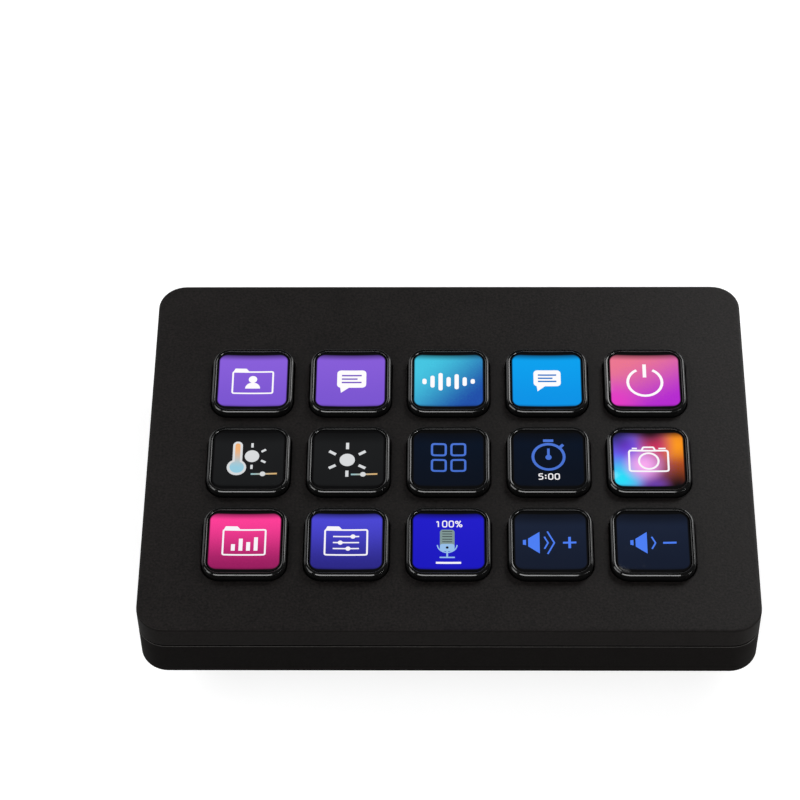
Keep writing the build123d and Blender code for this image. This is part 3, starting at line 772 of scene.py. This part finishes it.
for key, colours in pictures.items():
    lit_gloss(f"window_{key}", *colours, key_middle[key] + picture_shift,
              picture_spots.get(key, ()), window=True)
print("pictures", len(pictures))

# %% Rims and windows
window = window_points()
for key, middle in key_middle.items():
    make_piece(f"key_rim_{key}", [(carry(rim_rows, key_ring, middle), True, 0)], f"key_{key}",
               "key_rim", (), [f"key_cap_{key}"], sharp=48)
    make_piece(f"key_window_{key}", [(window + (*middle, 0), False, 0)], f"key_{key}",
               "key_window", [f"window_{key}"], [f"key_lens_{key}"])
print("keys", len(key_middle))

# %% [markdown]
# ## Membrane
# The keys' springs are one moulded silicone sheet with a collar under every key. A collar
# is a rail on two thin webs, and it collapses when its key goes down. Each collar is a
# piece of its own on the case's base, apart from the sheet between them.

# %% Silicone sheet
membrane_low, membrane_high = limits("key_membrane")
low_z, high_z = membrane_low[2], membrane_high[2]
sheet_top = low_z + 0.8
sheet_edge = membrane_high[0] - field_row[0]
collar_out, collar_in, web = 8.85, 7.45, 0.3


def membrane_row(half, z):
    """A rounded square ring of the membrane as a profile row."""
    return (half, half, 0.6, z)


collar_hole = [membrane_row(collar_out, sheet_top), membrane_row(collar_out, low_z)]
sheet_patches = [cell_patch(sheet_top, collar_hole, low_z, middle)
                 for middle in key_middle.values()]
edge_row = (field_row[0] + sheet_edge, field_row[1] + sheet_edge, 0.5)
edge_rows = [(*field_row, low_z), (*edge_row, low_z),
             (*edge_row, sheet_top), (*field_row, sheet_top)]
sheet_patches.append((carry(edge_rows, band, field_middle), False, 0))
make_piece("membrane_sheet", sheet_patches, "base", "silicone", (), ["key_membrane"])
print("sheet edge", sheet_edge)

# %% Collars, one piece for each key
rail_z = high_z - 1.7
collar_rows = [
    membrane_row(collar_out, low_z), membrane_row(collar_out, sheet_top),
    *fillet(membrane_row(collar_out - 0.35, high_z - 0.25), membrane_row(collar_out - 0.4, high_z),
            membrane_row(collar_out - 0.6, high_z), 3),
    membrane_row(collar_in, high_z), membrane_row(collar_in, low_z),
    membrane_row(collar_in + web, low_z), membrane_row(collar_in + web, rail_z),
    membrane_row(collar_out - web - 0.4, rail_z), membrane_row(collar_out - web, low_z),
]
for key, middle in key_middle.items():
    collar = make_piece(f"membrane_collar_{key}", [(carry(collar_rows, key_ring, middle), True, 0)],
                        "base", "silicone")
    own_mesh(collar)

# %% [markdown]
# ## Signs
# The signs on the windows are thin closed shapes that follow the hollow of the window:
# strokes of even width along a path, and plates that fill an outline. They are drawn in
# millimetres from the key's centre.

# %% Paths
def unit(vectors):
    """Vectors brought to length one."""
    return vectors / np.linalg.norm(vectors, axis=-1, keepdims=True)


def cut(path, closed, step=1.1):
    """Adds points evenly along the straight runs of a path: no run is longer than a step."""
    path = np.asarray(path, float)
    path = np.vstack([path, path[:1]]) if closed else path
    length = np.linalg.norm(np.diff(path, axis=0), axis=1)
    travelled = np.concatenate([[0], np.cumsum(length)])
    pieces = np.maximum(1, np.ceil(length / step)).astype(int)
    places = np.concatenate([np.linspace(a, b, n, endpoint=False)
                             for a, b, n in zip(travelled, travelled[1:], pieces)])
    places = places if closed else np.append(places, travelled[-1])
    return np.stack([np.interp(places, travelled, path[:, axis]) for axis in (0, 1)], axis=1)


def bend(corners, radius, closed=True):
    """A path whose corners are rounded by quadratic curves that start a radius before each."""
    corners = np.asarray(corners, float)
    parts = []
    for index, corner in enumerate(corners):
        if not closed and index in (0, len(corners) - 1):
            parts.append(corner[None])
            continue
        start = corner + radius * unit(corners[index - 1] - corner)
        end = corner + radius * unit(corners[(index + 1) % len(corners)] - corner)
        parts.append(fillet(start, corner, end, 3))
    return cut(np.concatenate(parts), closed)


def circle(radius, middle=(0, 0), start=0, end=360, steps=24):
    """Points of a circle or an arc, in degrees."""
    angle = np.radians(np.linspace(start, end, steps, endpoint=end - start < 360))
    return np.stack([np.cos(angle), np.sin(angle)], axis=1) * radius + middle


def block(width, height, radius, middle=(0, 0)):
    """Outline of a rounded rectangle."""
    return carry([(width / 2, height / 2, radius, 0)], ring_table(6, 3), middle)[0, :, :2]


print("points of a block", len(block(2, 1, 0.2)))

# %% Strokes and plates
def stroke(path, width, closed=False):
    """A ribbon: each point moves half the width to both sides, across the bisector of its runs."""
    path = np.asarray(path, float)
    run = np.roll(path, -1, axis=0) - path if closed else np.diff(path, axis=0)
    ahead = unit(run if closed else np.vstack([run, run[-1:]]))
    behind = np.roll(ahead, 1, axis=0) if closed else np.vstack([ahead[:1], ahead[:-1]])
    along = unit(ahead + behind)
    across = np.stack([-along[:, 1], along[:, 0]], axis=1)
    reach = width / 2 / np.maximum((along * ahead).sum(axis=1), 0.4)[:, None]
    left, right = path + across * reach, path - across * reach
    level = np.broadcast_to([[0.0], [1.0], [1.0], [0.0]], (len(path), 4, 1))
    ring = np.concatenate([np.stack([left, left, right, right], axis=1), level], axis=2)
    if closed:
        return ring, True
    ends = [np.repeat(ring[index].mean(axis=0)[None, None], 4, axis=1) for index in (0, -1)]
    return np.concatenate([ends[0], ring, ends[1]]), False


def plate(outline):
    """A filled outline: rings shrink from it to its middle over the top and under it."""
    outline = np.asarray(outline, float)
    middle = outline.mean(axis=0)
    scale = np.array([0, 0.5, 1, 1, 0.75, 0.5, 0.25, 0])[:, None, None]
    flat = middle + (outline - middle) * scale
    level = np.array([0, 0, 0, 1, 1, 1, 1, 1.0])[:, None, None]
    return np.concatenate([flat, np.broadcast_to(level, flat.shape[:2] + (1,))], axis=2), False


layer_rise, waist, sunk = 0.02, -0.02, -0.05


def drape(shape, middle, layer, number):
    """Lays a flat shape over the window: its top a little above the dish, its lower side below."""
    points, closed = shape
    level = points[..., 2]
    height = np.where(level > 0.8, layer_rise + layer_rise * layer,
                      np.where(level > 0.2, waist, sunk))
    surface = dish(points[..., 0], points[..., 1]) + height
    return np.dstack([points[..., :2], surface]) + (*middle, 0), closed, number


print("a stroke", stroke([(0, 0), (1, 0)], 0.4)[0].shape)

# %% Inks of the signs
ink_tones = {
    "white": ((248, 245, 250), (254, 252, 254)),
    "grey": ((214, 216, 218), (224, 226, 228)),
    "mesh": ((128, 150, 148), (142, 164, 162)),
    "blue": ((70, 112, 208), (78, 120, 218)),
    "bright_blue": ((76, 126, 244), (84, 134, 250)),
    "dark": ((20, 24, 34), (24, 28, 40)),
    "purple": ((108, 76, 184), (116, 82, 192)),
    "azure": ((16, 110, 190), (20, 116, 198)),
    "cold": ((150, 190, 232), (166, 204, 240)),
    "scale": ((148, 202, 222), (240, 176, 116), (0, 2.4, 0), key_middle["r2c1"] + (0, 0.6)),
}
for key in ("r2c1", "r2c2"):
    ink_tones[f"range_{key}"] = ((150, 190, 196), (216, 176, 118), (2.4, 0, 0),
                                 key_middle[key] + (2.8, 0))
for ink, given in ink_tones.items():
    lit_gloss(f"sign_{ink}", *given)
print("inks", len(ink_tones))

# %% Shapes with their ink and layer
def line(start, end, width, ink="white", layer=0):
    """A straight stroke."""
    return stroke(cut([start, end], False), width), ink, layer


def arc(radius, middle, width, ink="white", start=0, end=360, steps=24):
    """A stroke along a circle or an arc."""
    return stroke(circle(radius, middle, start, end, steps), width, end - start == 360), ink, 0


def disc(radius, middle, ink="white", layer=0, steps=24):
    """A filled circle."""
    return plate(circle(radius, middle, steps=steps)), ink, layer


def slab(width, height, radius, middle, ink="white", layer=0):
    """A filled rounded rectangle."""
    return plate(block(width, height, radius, middle)), ink, layer


def frame_line(width, height, middle, ink="white", thick=0.38):
    """The outline of a rectangle with bent corners, as a stroke."""
    corners = block(width, height, 0.01, middle)[[0, 9, 18, 27]]
    return stroke(bend(corners, 0.5), thick, True), ink, 0


print("a disc", disc(1, (0, 0))[0][0].shape)

# %% Folder, bubble, sun and slider
def folder(width, height, middle=(0, 0)):
    """A folder: an outline with a filled tab at the top left."""
    x, y = middle
    left, right, low, high = x - width / 2, x + width / 2, y - height / 2, y + height / 2 - 0.8
    outline = bend([(left, low), (right, low), (right, high), (left, high)], 0.35)
    tab = [(left + 0.42 * width, high - 0.1), (left + 0.33 * width, high + 0.8),
           (left + 0.4, high + 0.8), (left, high - 0.1)]
    return [(stroke(outline, 0.34, True), "white", 0), (plate(bend(tab, 0.14)), "white", 1)]


def bubble(width, height, middle, ink):
    """A speech bubble with three lines."""
    x, y = middle
    tail = cut([(x - 0.4 * width, y - 0.4 * height), (x - 0.36 * width, y - 0.5 * height - 1.3),
                (x, y - 0.4 * height)], True)
    lines = [line((x - 0.34 * width, y + rise * height), (x + reach * width, y + rise * height),
                  0.34, ink, 2) for rise, reach in ((0.2, 0.34), (0.0, 0.2), (-0.2, 0.34))]
    return [slab(width, height, 0.8, middle, "white", 1), (plate(tail), "white", 0)] + lines


def sun(radius, middle, angles, inner, outer, width):
    """A disc with short rays at given angles."""
    ways = [np.array([np.cos(angle), np.sin(angle)]) for angle in np.radians(angles)]
    rays = [line(middle + way * inner, middle + way * outer, width, "grey") for way in ways]
    return [disc(radius, middle, "grey")] + rays


def slider(left, right, knob, y, ink):
    """A slider: a line that runs from cold to warm, and a knob."""
    return [line((left, y), (right, y), 0.36, ink), disc(0.56, (knob, y), "grey", 1, 20)]


print("shapes of a bubble", len(bubble(5, 4, (0, 0), "blue")))

# %% Plain figures
digit_paths = {
    "0": ([(0, 0), (0.9, 0), (0.9, 1.5), (0, 1.5)], True),
    "1": ([(0.1, 1.15), (0.5, 1.5), (0.5, 0)], False),
    "5": ([(0.9, 1.5), (0.05, 1.5), (0, 0.85), (0.9, 0.85), (0.9, 0), (0, 0)], False),
}


def digits(text, middle, width=0.22, size=0.9):
    """Plain white figures side by side, centred; a colon takes half a place."""
    advance = [size * (0.75 if letter == ":" else 1.4) for letter in text]
    start = np.array(middle) - ((sum(advance) - 0.5 * size) / 2, 0.75 * size)
    made = []
    for letter, step in zip(text, advance):
        if letter == ":":
            made += [disc(0.17, start + (0.1, rise), steps=12) for rise in (0.3, 0.95)]
        elif letter == "%":
            made += [arc(0.24, start + spot, 0.2, steps=12) for spot in ((0.2, 1.05), (0.95, 0.25))]
            made.append(line(start + (0.22, -0.05), start + (0.92, 1.35), 0.2, layer=1))
        else:
            corners, closed = digit_paths[letter]
            path = bend(start + size * np.array(corners), 0.38, closed)
            made.append((stroke(path, width, closed), "white", 0))
        start = start + (step, 0)
    return made


print("digits", sorted(digit_paths))

# %% Loudspeaker, microphone and stopwatch
def speaker(x):
    """A loudspeaker: a small throat and a widening horn."""
    throat = [(x, -0.5), (x + 0.6, -0.62), (x + 0.6, 0.62), (x, 0.5)]
    horn = [(x + 1.0, -0.9), (x + 3.2, -2.5), (x + 3.2, 2.5), (x + 1.0, 0.9)]
    return [(plate(cut(shape, True)), "bright_blue", 0) for shape in (throat, horn)]


def wave(x, reach):
    """A sound wave drawn as one bent line."""
    path = cut([(x, reach), (x + 0.5 * reach, 0), (x, -reach)], False)
    return stroke(path, 0.3), "bright_blue", 0


microphone = [
    slab(2.8, 5.0, 0.6, (-0.25, 0.5), "mesh"), slab(2.8, 1.7, 0.5, (-0.25, -1.15), "cold", 1),
    *[line((-1.2, y), (0.7, y), 0.14, "dark", 1) for y in (0.2, 0.8, 1.4, 2.0, 2.6)],
    disc(0.28, (-0.25, -1.15), "dark", 2, 12), line((-0.25, -2.0), (-0.25, -3.4), 0.34, "cold"),
    arc(1.9, (-0.25, -0.4), 0.24, "cold", 185, 355, 13),
    line((-1.7, -3.45), (1.2, -3.45), 0.3, "cold"),
]
stopwatch = [
    arc(3.05, (0, 0.9), 0.55, "blue", steps=32), line((0, 1.0), (0, 2.9), 0.5, "blue"),
    disc(0.6, (0, 0.8), "blue", 1, 16), line((-1.0, 4.75), (1.0, 4.75), 0.6, "blue"),
    line((2.3, 3.2), (2.9, 3.8), 0.6, "blue"),
]
print("shapes", len(microphone), len(stopwatch))

# %% Thermometer, camera and the fifteen signs
thermometer = [
    slab(1.9, 6.0, 0.94, (-2.25, 1.5), "grey"), disc(1.9, (-2.35, -1.7), "grey", 1),
    slab(1.0, 5.0, 0.49, (-2.25, 1.55), "scale", 2), disc(1.4, (-2.3, -1.65), "scale", 3),
]
hump = bend([(-1.3, 2.5), (-1.0, 3.2), (1.0, 3.2), (1.3, 2.5)], 0.2, False)
camera_sign = [
    frame_line(7.6, 5.0, (0, -0.1)), arc(1.9, (0, -0.1), 0.4, steps=28),
    (stroke(hump, 0.36), "white", 0), line((-3.2, 2.9), (-2.2, 2.9), 0.3),
    line((2.0, 2.9), (3.4, 2.9), 0.3),
]
sound_bars = [(-4.8, 1.4), (-3.2, 3.0), (-1.6, 4.4), (0, 2.4), (1.6, 3.8), (3.2, 2.2), (4.8, 1.2)]
chart_bars = [(-2.2, 1.5), (-0.75, 2.8), (0.7, 2.0), (2.15, 3.1)]
knobs = [(1.2, 1.4), (-1.2, 0.0), (0.3, -1.4)]
right_rays = (90, 30, -30, -90)
signs = {
    "r1c1": [*folder(8.0, 6.2, (0, 0.15)), disc(0.85, (0, 0.6), steps=18),
             (plate(circle(1.5, (0, -1.7), 0, 180, 13)), "white", 0)],
    "r1c2": bubble(5.8, 4.3, (0.2, 0.65), "purple"),
    "r1c3": [slab(0.85, tall, 0.42, (x, 0)) for x, tall in sound_bars],
    "r1c4": bubble(5.4, 3.95, (0.1, 0.85), "azure"),
    "r1c5": [arc(3.4, (0, -0.15), 0.55, "white", 118, 422, 25), line((0, 1.1), (0, 4.3), 0.7)],
    "r2c1": [*thermometer, *sun(1.42, np.array([0.58, 1.05]), right_rays, 2.1, 3.1, 0.46),
             *slider(0.5, 5.6, 2.8, -3.3, "range_r2c1")],
    "r2c2": [*sun(1.5, np.array([-0.28, 0.15]), (*right_rays, 210, 150), 2.6, 4.1, 0.6),
             *slider(0.5, 5.65, 2.85, -3.4, "range_r2c2")],
    "r2c3": [frame_line(2.7, 2.7, (x, y), "blue", 0.42) for x in (-1.9, 1.9) for y in (-1.2, 2.6)],
    "r2c4": stopwatch + digits("5:00", (0, -3.9)),
    "r2c5": camera_sign,
    "r3c1": [*folder(8.1, 6.6, (-0.1, 0.4)),
             *[line((x, -1.9), (x, -1.9 + tall), 0.75) for x, tall in chart_bars]],
    "r3c2": [*folder(8.1, 6.6, (-0.1, 0.4)), *[line((-2.6, y), (2.4, y), 0.28) for _, y in knobs],
             *[disc(0.48, knob, "white", 1, 14) for knob in knobs]],
    "r3c3": [*digits("100%", (-0.1, 4.3)), *microphone, line((-2.4, -4.75), (2.4, -4.75), 0.45)],
    "r3c4": [*speaker(-5.3), wave(-1.2, 1.4), wave(-0.6, 2.6),
             line((2.35, 0), (4.9, 0), 0.42, "bright_blue"),
             line((3.62, -1.3), (3.62, 1.3), 0.5, "bright_blue", 1)],
    "r3c5": [*speaker(-4.3), wave(-0.2, 1.4), line((1.95, 0), (4.5, 0), 0.42, "bright_blue")],
}
for key, shapes in signs.items():
    inks = list(dict.fromkeys(ink for _, ink, _ in shapes))
    patches = [drape(shape, key_middle[key], layer, inks.index(ink))
               for shape, ink, layer in shapes]
    make_piece(f"key_sign_{key}", patches, f"key_{key}", "key_window",
               [f"sign_{ink}" for ink in inks])
print("signs", len(signs))

# %% [markdown]
# ## Port, screws and feet
# The steel shell of the port is one closed section: out along the mouth, back along the
# outside and in again. Its ring lies in the plane across the plug's way, so the rings are
# turned upright. The tongue stands inside it with two rows of contacts.

# %% Port
def across_plug(points, z):
    """Turns rings made about the vertical so that they lie across the plug's way."""
    return np.stack([points[..., 0], -points[..., 2], points[..., 1] + z], axis=2)


shell_low, shell_high = limits("usb_c_shell")
port_z = (shell_low[2] + shell_high[2]) / 2
half_x, half_z = (shell_high - shell_low)[[0, 2]] / 2
mouth, back = -shell_high[1], -shell_low[1]
port_radius = 1.5
port_row = rows_of(half_x, half_z, port_radius)
port_rows = [
    *fillet(port_row(0.3, mouth + 0.15), port_row(0.28, mouth), port_row(0.18, mouth), 3),
    *fillet(port_row(0.1, mouth), port_row(0, mouth), port_row(0, mouth + 0.12), 3),
    port_row(0, mouth + 0.4), port_row(0, back), port_row(0.3, back),
]
port = across_plug(carry(port_rows[::-1], ring_table(8, 2)), port_z)[:, ::-1]
make_piece("port_shell", [(port, True, 0)], "base", "port_steel", (), ["usb_c_shell"], sharp=45)
print("port from", mouth, "to", back)

# %% Tongue and contacts
tongue_tip, tongue_blade, tongue_root = (3.2, 0.25, 0.1), (3.345, 0.35, 0.15), (2.97, 1.33, 0.2)
tongue_start, tongue_back = mouth + 0.9, back - 2.2
tongue_rows = [
    (0, 0, 0, tongue_start), (*tongue_tip, tongue_start), (*tongue_blade, mouth + 1.1),
    (*tongue_blade, tongue_back), (*tongue_root, tongue_back), (*tongue_root, back),
    (0, 0, 0, back),
]
tongue = across_plug(carry(tongue_rows, ring_table(3, 2)), port_z)
make_piece("port_tongue", [(tongue, False, 0)], "base", "chip_plastic", (), ["usb_c_tongue"])


def contact(x, side):
    """One gold strip: a closed slab along the plug's way, a little proud of the tongue."""
    start, end, half = mouth + 1.2, mouth + 4.6, (0.12, 0.02, 0.01)
    rows = [(0, 0, 0, start), (*half, start), (*half, end), (0, 0, 0, end)]
    return across_plug(carry(rows, ring_table(1, 1), (x, side * 0.35)), port_z), False, 0


strips = [contact(x, side) for side in (1, -1) for x in np.arange(-2.75, 2.8, 0.5)]
make_piece("port_contacts", strips, "base", "contact_gold")
print("port strips", len(strips))

# %% [markdown]
# The case screws come up from below. Their section is turned about the screw's own axis:
# the shank's radius follows a helix, and the drive in the head is a circle with six lobes.

# %% Screws
head_radius, head_height, thread_pitch = 1.8, 1.2, 0.7
root_radius, thread_rise = 0.8, 0.2
drive_radius, lobe_rise, drive_depth = 0.75, 0.12, 0.8


def screw(x, y, low, high):
    """Radius over turn and height: a helix on the shank, a flat head, and a lobed drive in it."""
    turn_angle = np.linspace(0, 2 * np.pi, 36, endpoint=False)
    height = np.linspace(low + 1.6, high - 0.3, 60)[:, None]
    slope = np.abs(((height / thread_pitch - turn_angle / (2 * np.pi)) % 1) - 0.5) * 2
    shank = root_radius + thread_rise * slope
    lobes = drive_radius + lobe_rise * np.cos(6 * turn_angle)
    plain = np.ones_like(turn_angle)
    bottom = low + drive_depth
    rows = [(0 * plain, bottom), (lobes * 0.9, bottom), (lobes, low), (1.55 * plain, low),
            (1.72 * plain, low + 0.06), (head_radius * plain, low + 0.2),
            (head_radius * plain, low + head_height), (1.0 * plain, low + head_height),
            *zip(shank, height[:, 0]), (0.6 * plain, high), (0 * plain, high)]
    radius = np.array([row[0] for row in rows])
    level = np.array([row[1] for row in rows])[:, None] * plain
    flat = [x + radius * np.cos(turn_angle), y + radius * np.sin(turn_angle)]
    return np.stack([*flat, level], axis=2)


screw_low, screw_high = limits("case_screws")
screw_x = screw_high[0] - head_radius
screw_y = (screw_low[1] + screw_high[1]) / 2
for side, name, stands_for in ((-1, "left", []), (1, "right", ["case_screws"])):
    points = screw(side * screw_x, screw_y, screw_low[2], screw_high[2])
    make_piece(f"case_screw_{name}", [(points, False, 0)], "base", "screw_steel", (),
               stands_for, sharp=40)
print("screws at", screw_x, screw_y)

# %% Feet
foot_low, foot_high = limits("rubber_feet")
foot_x, foot_y = 8, 3
foot_z, foot_top = foot_low[2], foot_high[2]
foot_rows = [
    (0, 0, 0, foot_z), (6.4, 1.6, 0.6, foot_z), (7.55, 2.55, 1.3, foot_z),
    *fillet((7.7, 2.7, 1.4, foot_z), (foot_x, foot_y, 1.6, foot_z),
            (foot_x, foot_y, 1.6, foot_z + 0.3), 3),
    (foot_x, foot_y, 1.6, foot_top), (0, 0, 0, foot_top),
]
foot_patches = [(carry(foot_rows, ring_table(6, 4), (x, y)), False, 0)
                for x in (foot_low[0] + foot_x, foot_high[0] - foot_x)
                for y in (foot_low[1] + foot_y, foot_high[1] - foot_y)]
make_piece("foot_pads", foot_patches, "base", "foot_rubber", (), ["rubber_feet"], sharp=45)
print("feet", len(foot_patches))

# %% [markdown]
# ## Stage, light and camera
# A pale floor carries the keypad and keeps its faint shadow. The light is soft. A lamp at
# the left gives most of the level and a low one at the right corner lifts that end. A long
# strip in front draws the thin lines on the near rims, and two lamps behind draw those
# along the sides and the sheen on the face. The surroundings are dark overhead, which keeps
# the windows clear, and white low down.

# %% Floor
floor_half = 0.8
floor_mesh = bpy.data.meshes.new("studio_floor")
floor_corners = [(x, y, 0) for x, y in np.array([(-1, -1), (1, -1), (1, 1), (-1, 1)]) * floor_half]
floor_mesh.from_pydata(floor_corners, [], [(0, 1, 2, 3)])
floor = put("studio_floor", floor_mesh)
tree, shader, place = open_material("studio_floor", Roughness=0.9, Specular_IOR_Level=0.1)
floor_mesh.materials.append(materials["studio_floor"])
grey, pale = (0.53, 0.53, 0.53, 1), (0.57, 0.57, 0.57, 1)
feed(tree, shader, {"Base Color": blend_of(tree, noise_of(tree, place, 40.0), grey, pale)})
path = node(tree, "LightPath").outputs
mirrored = value_of(tree, "MAXIMUM", path["Is Glossy Ray"], path["Is Transmission Ray"])
seen = value_of(tree, "MAXIMUM", path["Is Camera Ray"], mirrored)
seen_glow, direct_glow = 0.3, 0.4
lifted = value_of(tree, "MULTIPLY_ADD", path["Is Camera Ray"], direct_glow,
                  value_of(tree, "MULTIPLY", seen, seen_glow))
glow = node(tree, "Emission", {"Color": white, "Strength": lifted})
sheet = node(tree, "AddShader", {0: shader.outputs[0], 1: glow.outputs[0]})
feed(tree, tree.nodes["Material Output"], {"Surface": sheet.outputs[0]})
print("floor", 2 * floor_half, "metres wide")

# %% Surroundings
world = bpy.data.worlds.new("studio")
bpy.context.scene.world = world
world.use_nodes = True
tree = world.node_tree
path = node(tree, "LightPath").outputs
sky = node(tree, "SeparateXYZ", {0: node(tree, "TexCoord").outputs["Generated"]}).outputs[2]
mirrored = value_of(tree, "MAXIMUM", path["Is Glossy Ray"], path["Is Transmission Ray"])
dark_above, white_below, ambient = 0.24, 0.16, 0.08
low = value_of(tree, "MULTIPLY", ramp_of(tree, sky, dark_above, white_below), mirrored)
bright = value_of(tree, "MAXIMUM", path["Is Camera Ray"], low)
feed(tree, tree.nodes["Background"],
     {"Color": white, "Strength": value_of(tree, "MAXIMUM", bright, ambient)})
print("surroundings", world.name)

# %% Lamps
def softbox(name, place, size, power, aim=(0, 0, 0.02)):
    """A rectangular lamp that faces a point."""
    lamp = bpy.data.lights.new(name, "AREA")
    lamp.shape = "RECTANGLE"
    lamp.size, lamp.size_y = size
    lamp.energy = power
    turn = (Vector(aim) - Vector(place)).to_track_quat("-Z", "Y")
    put(name, lamp).matrix_world = Matrix.Translation(place) @ turn.to_matrix().to_4x4()


softbox("side_lamp", (-0.62, -0.12, 0.5), (0.5, 0.3), 2.1)
softbox("corner_lamp", (0.68, -0.34, 0.1), (0.3, 0.15), 4.0)
softbox("front_lamp", (-0.1, -0.6, 0.6), (0.7, 0.15), 2.5)
softbox("left_lamp", (-0.3, 0.36, 0.34), (0.24, 0.3), 0.5)
softbox("right_lamp", (0.23, 0.29, 0.29), (0.2, 0.22), 1.0)

# %% Camera
camera = bpy.data.cameras.new("camera")
camera.lens = 134.1
camera.sensor_width = 36
camera.clip_start = 0.01
camera_held = put("camera", camera)
bpy.context.scene.camera = camera_held
rise, turned_by, rolled = np.radians([52.369, 1.607, -1.276])
ahead = Vector((0, np.cos(rise), -np.sin(rise)))
right = Vector((1, 0, 0))
upright = right.cross(ahead)
axes = [np.cos(rolled) * right + np.sin(rolled) * upright,
        -np.sin(rolled) * right + np.cos(rolled) * upright, -ahead]
axes = [Matrix.Rotation(turned_by, 3, "Z") @ Vector(axis) for axis in axes]
camera_place = (0.00048, -0.34851, 0.49205)
camera_held.matrix_world = Matrix.Translation(camera_place) @ Matrix(axes).transposed().to_4x4()
bpy.context.scene.view_settings.view_transform = "Standard"
print("camera at", tuple(round(x, 4) for x in camera_held.location))
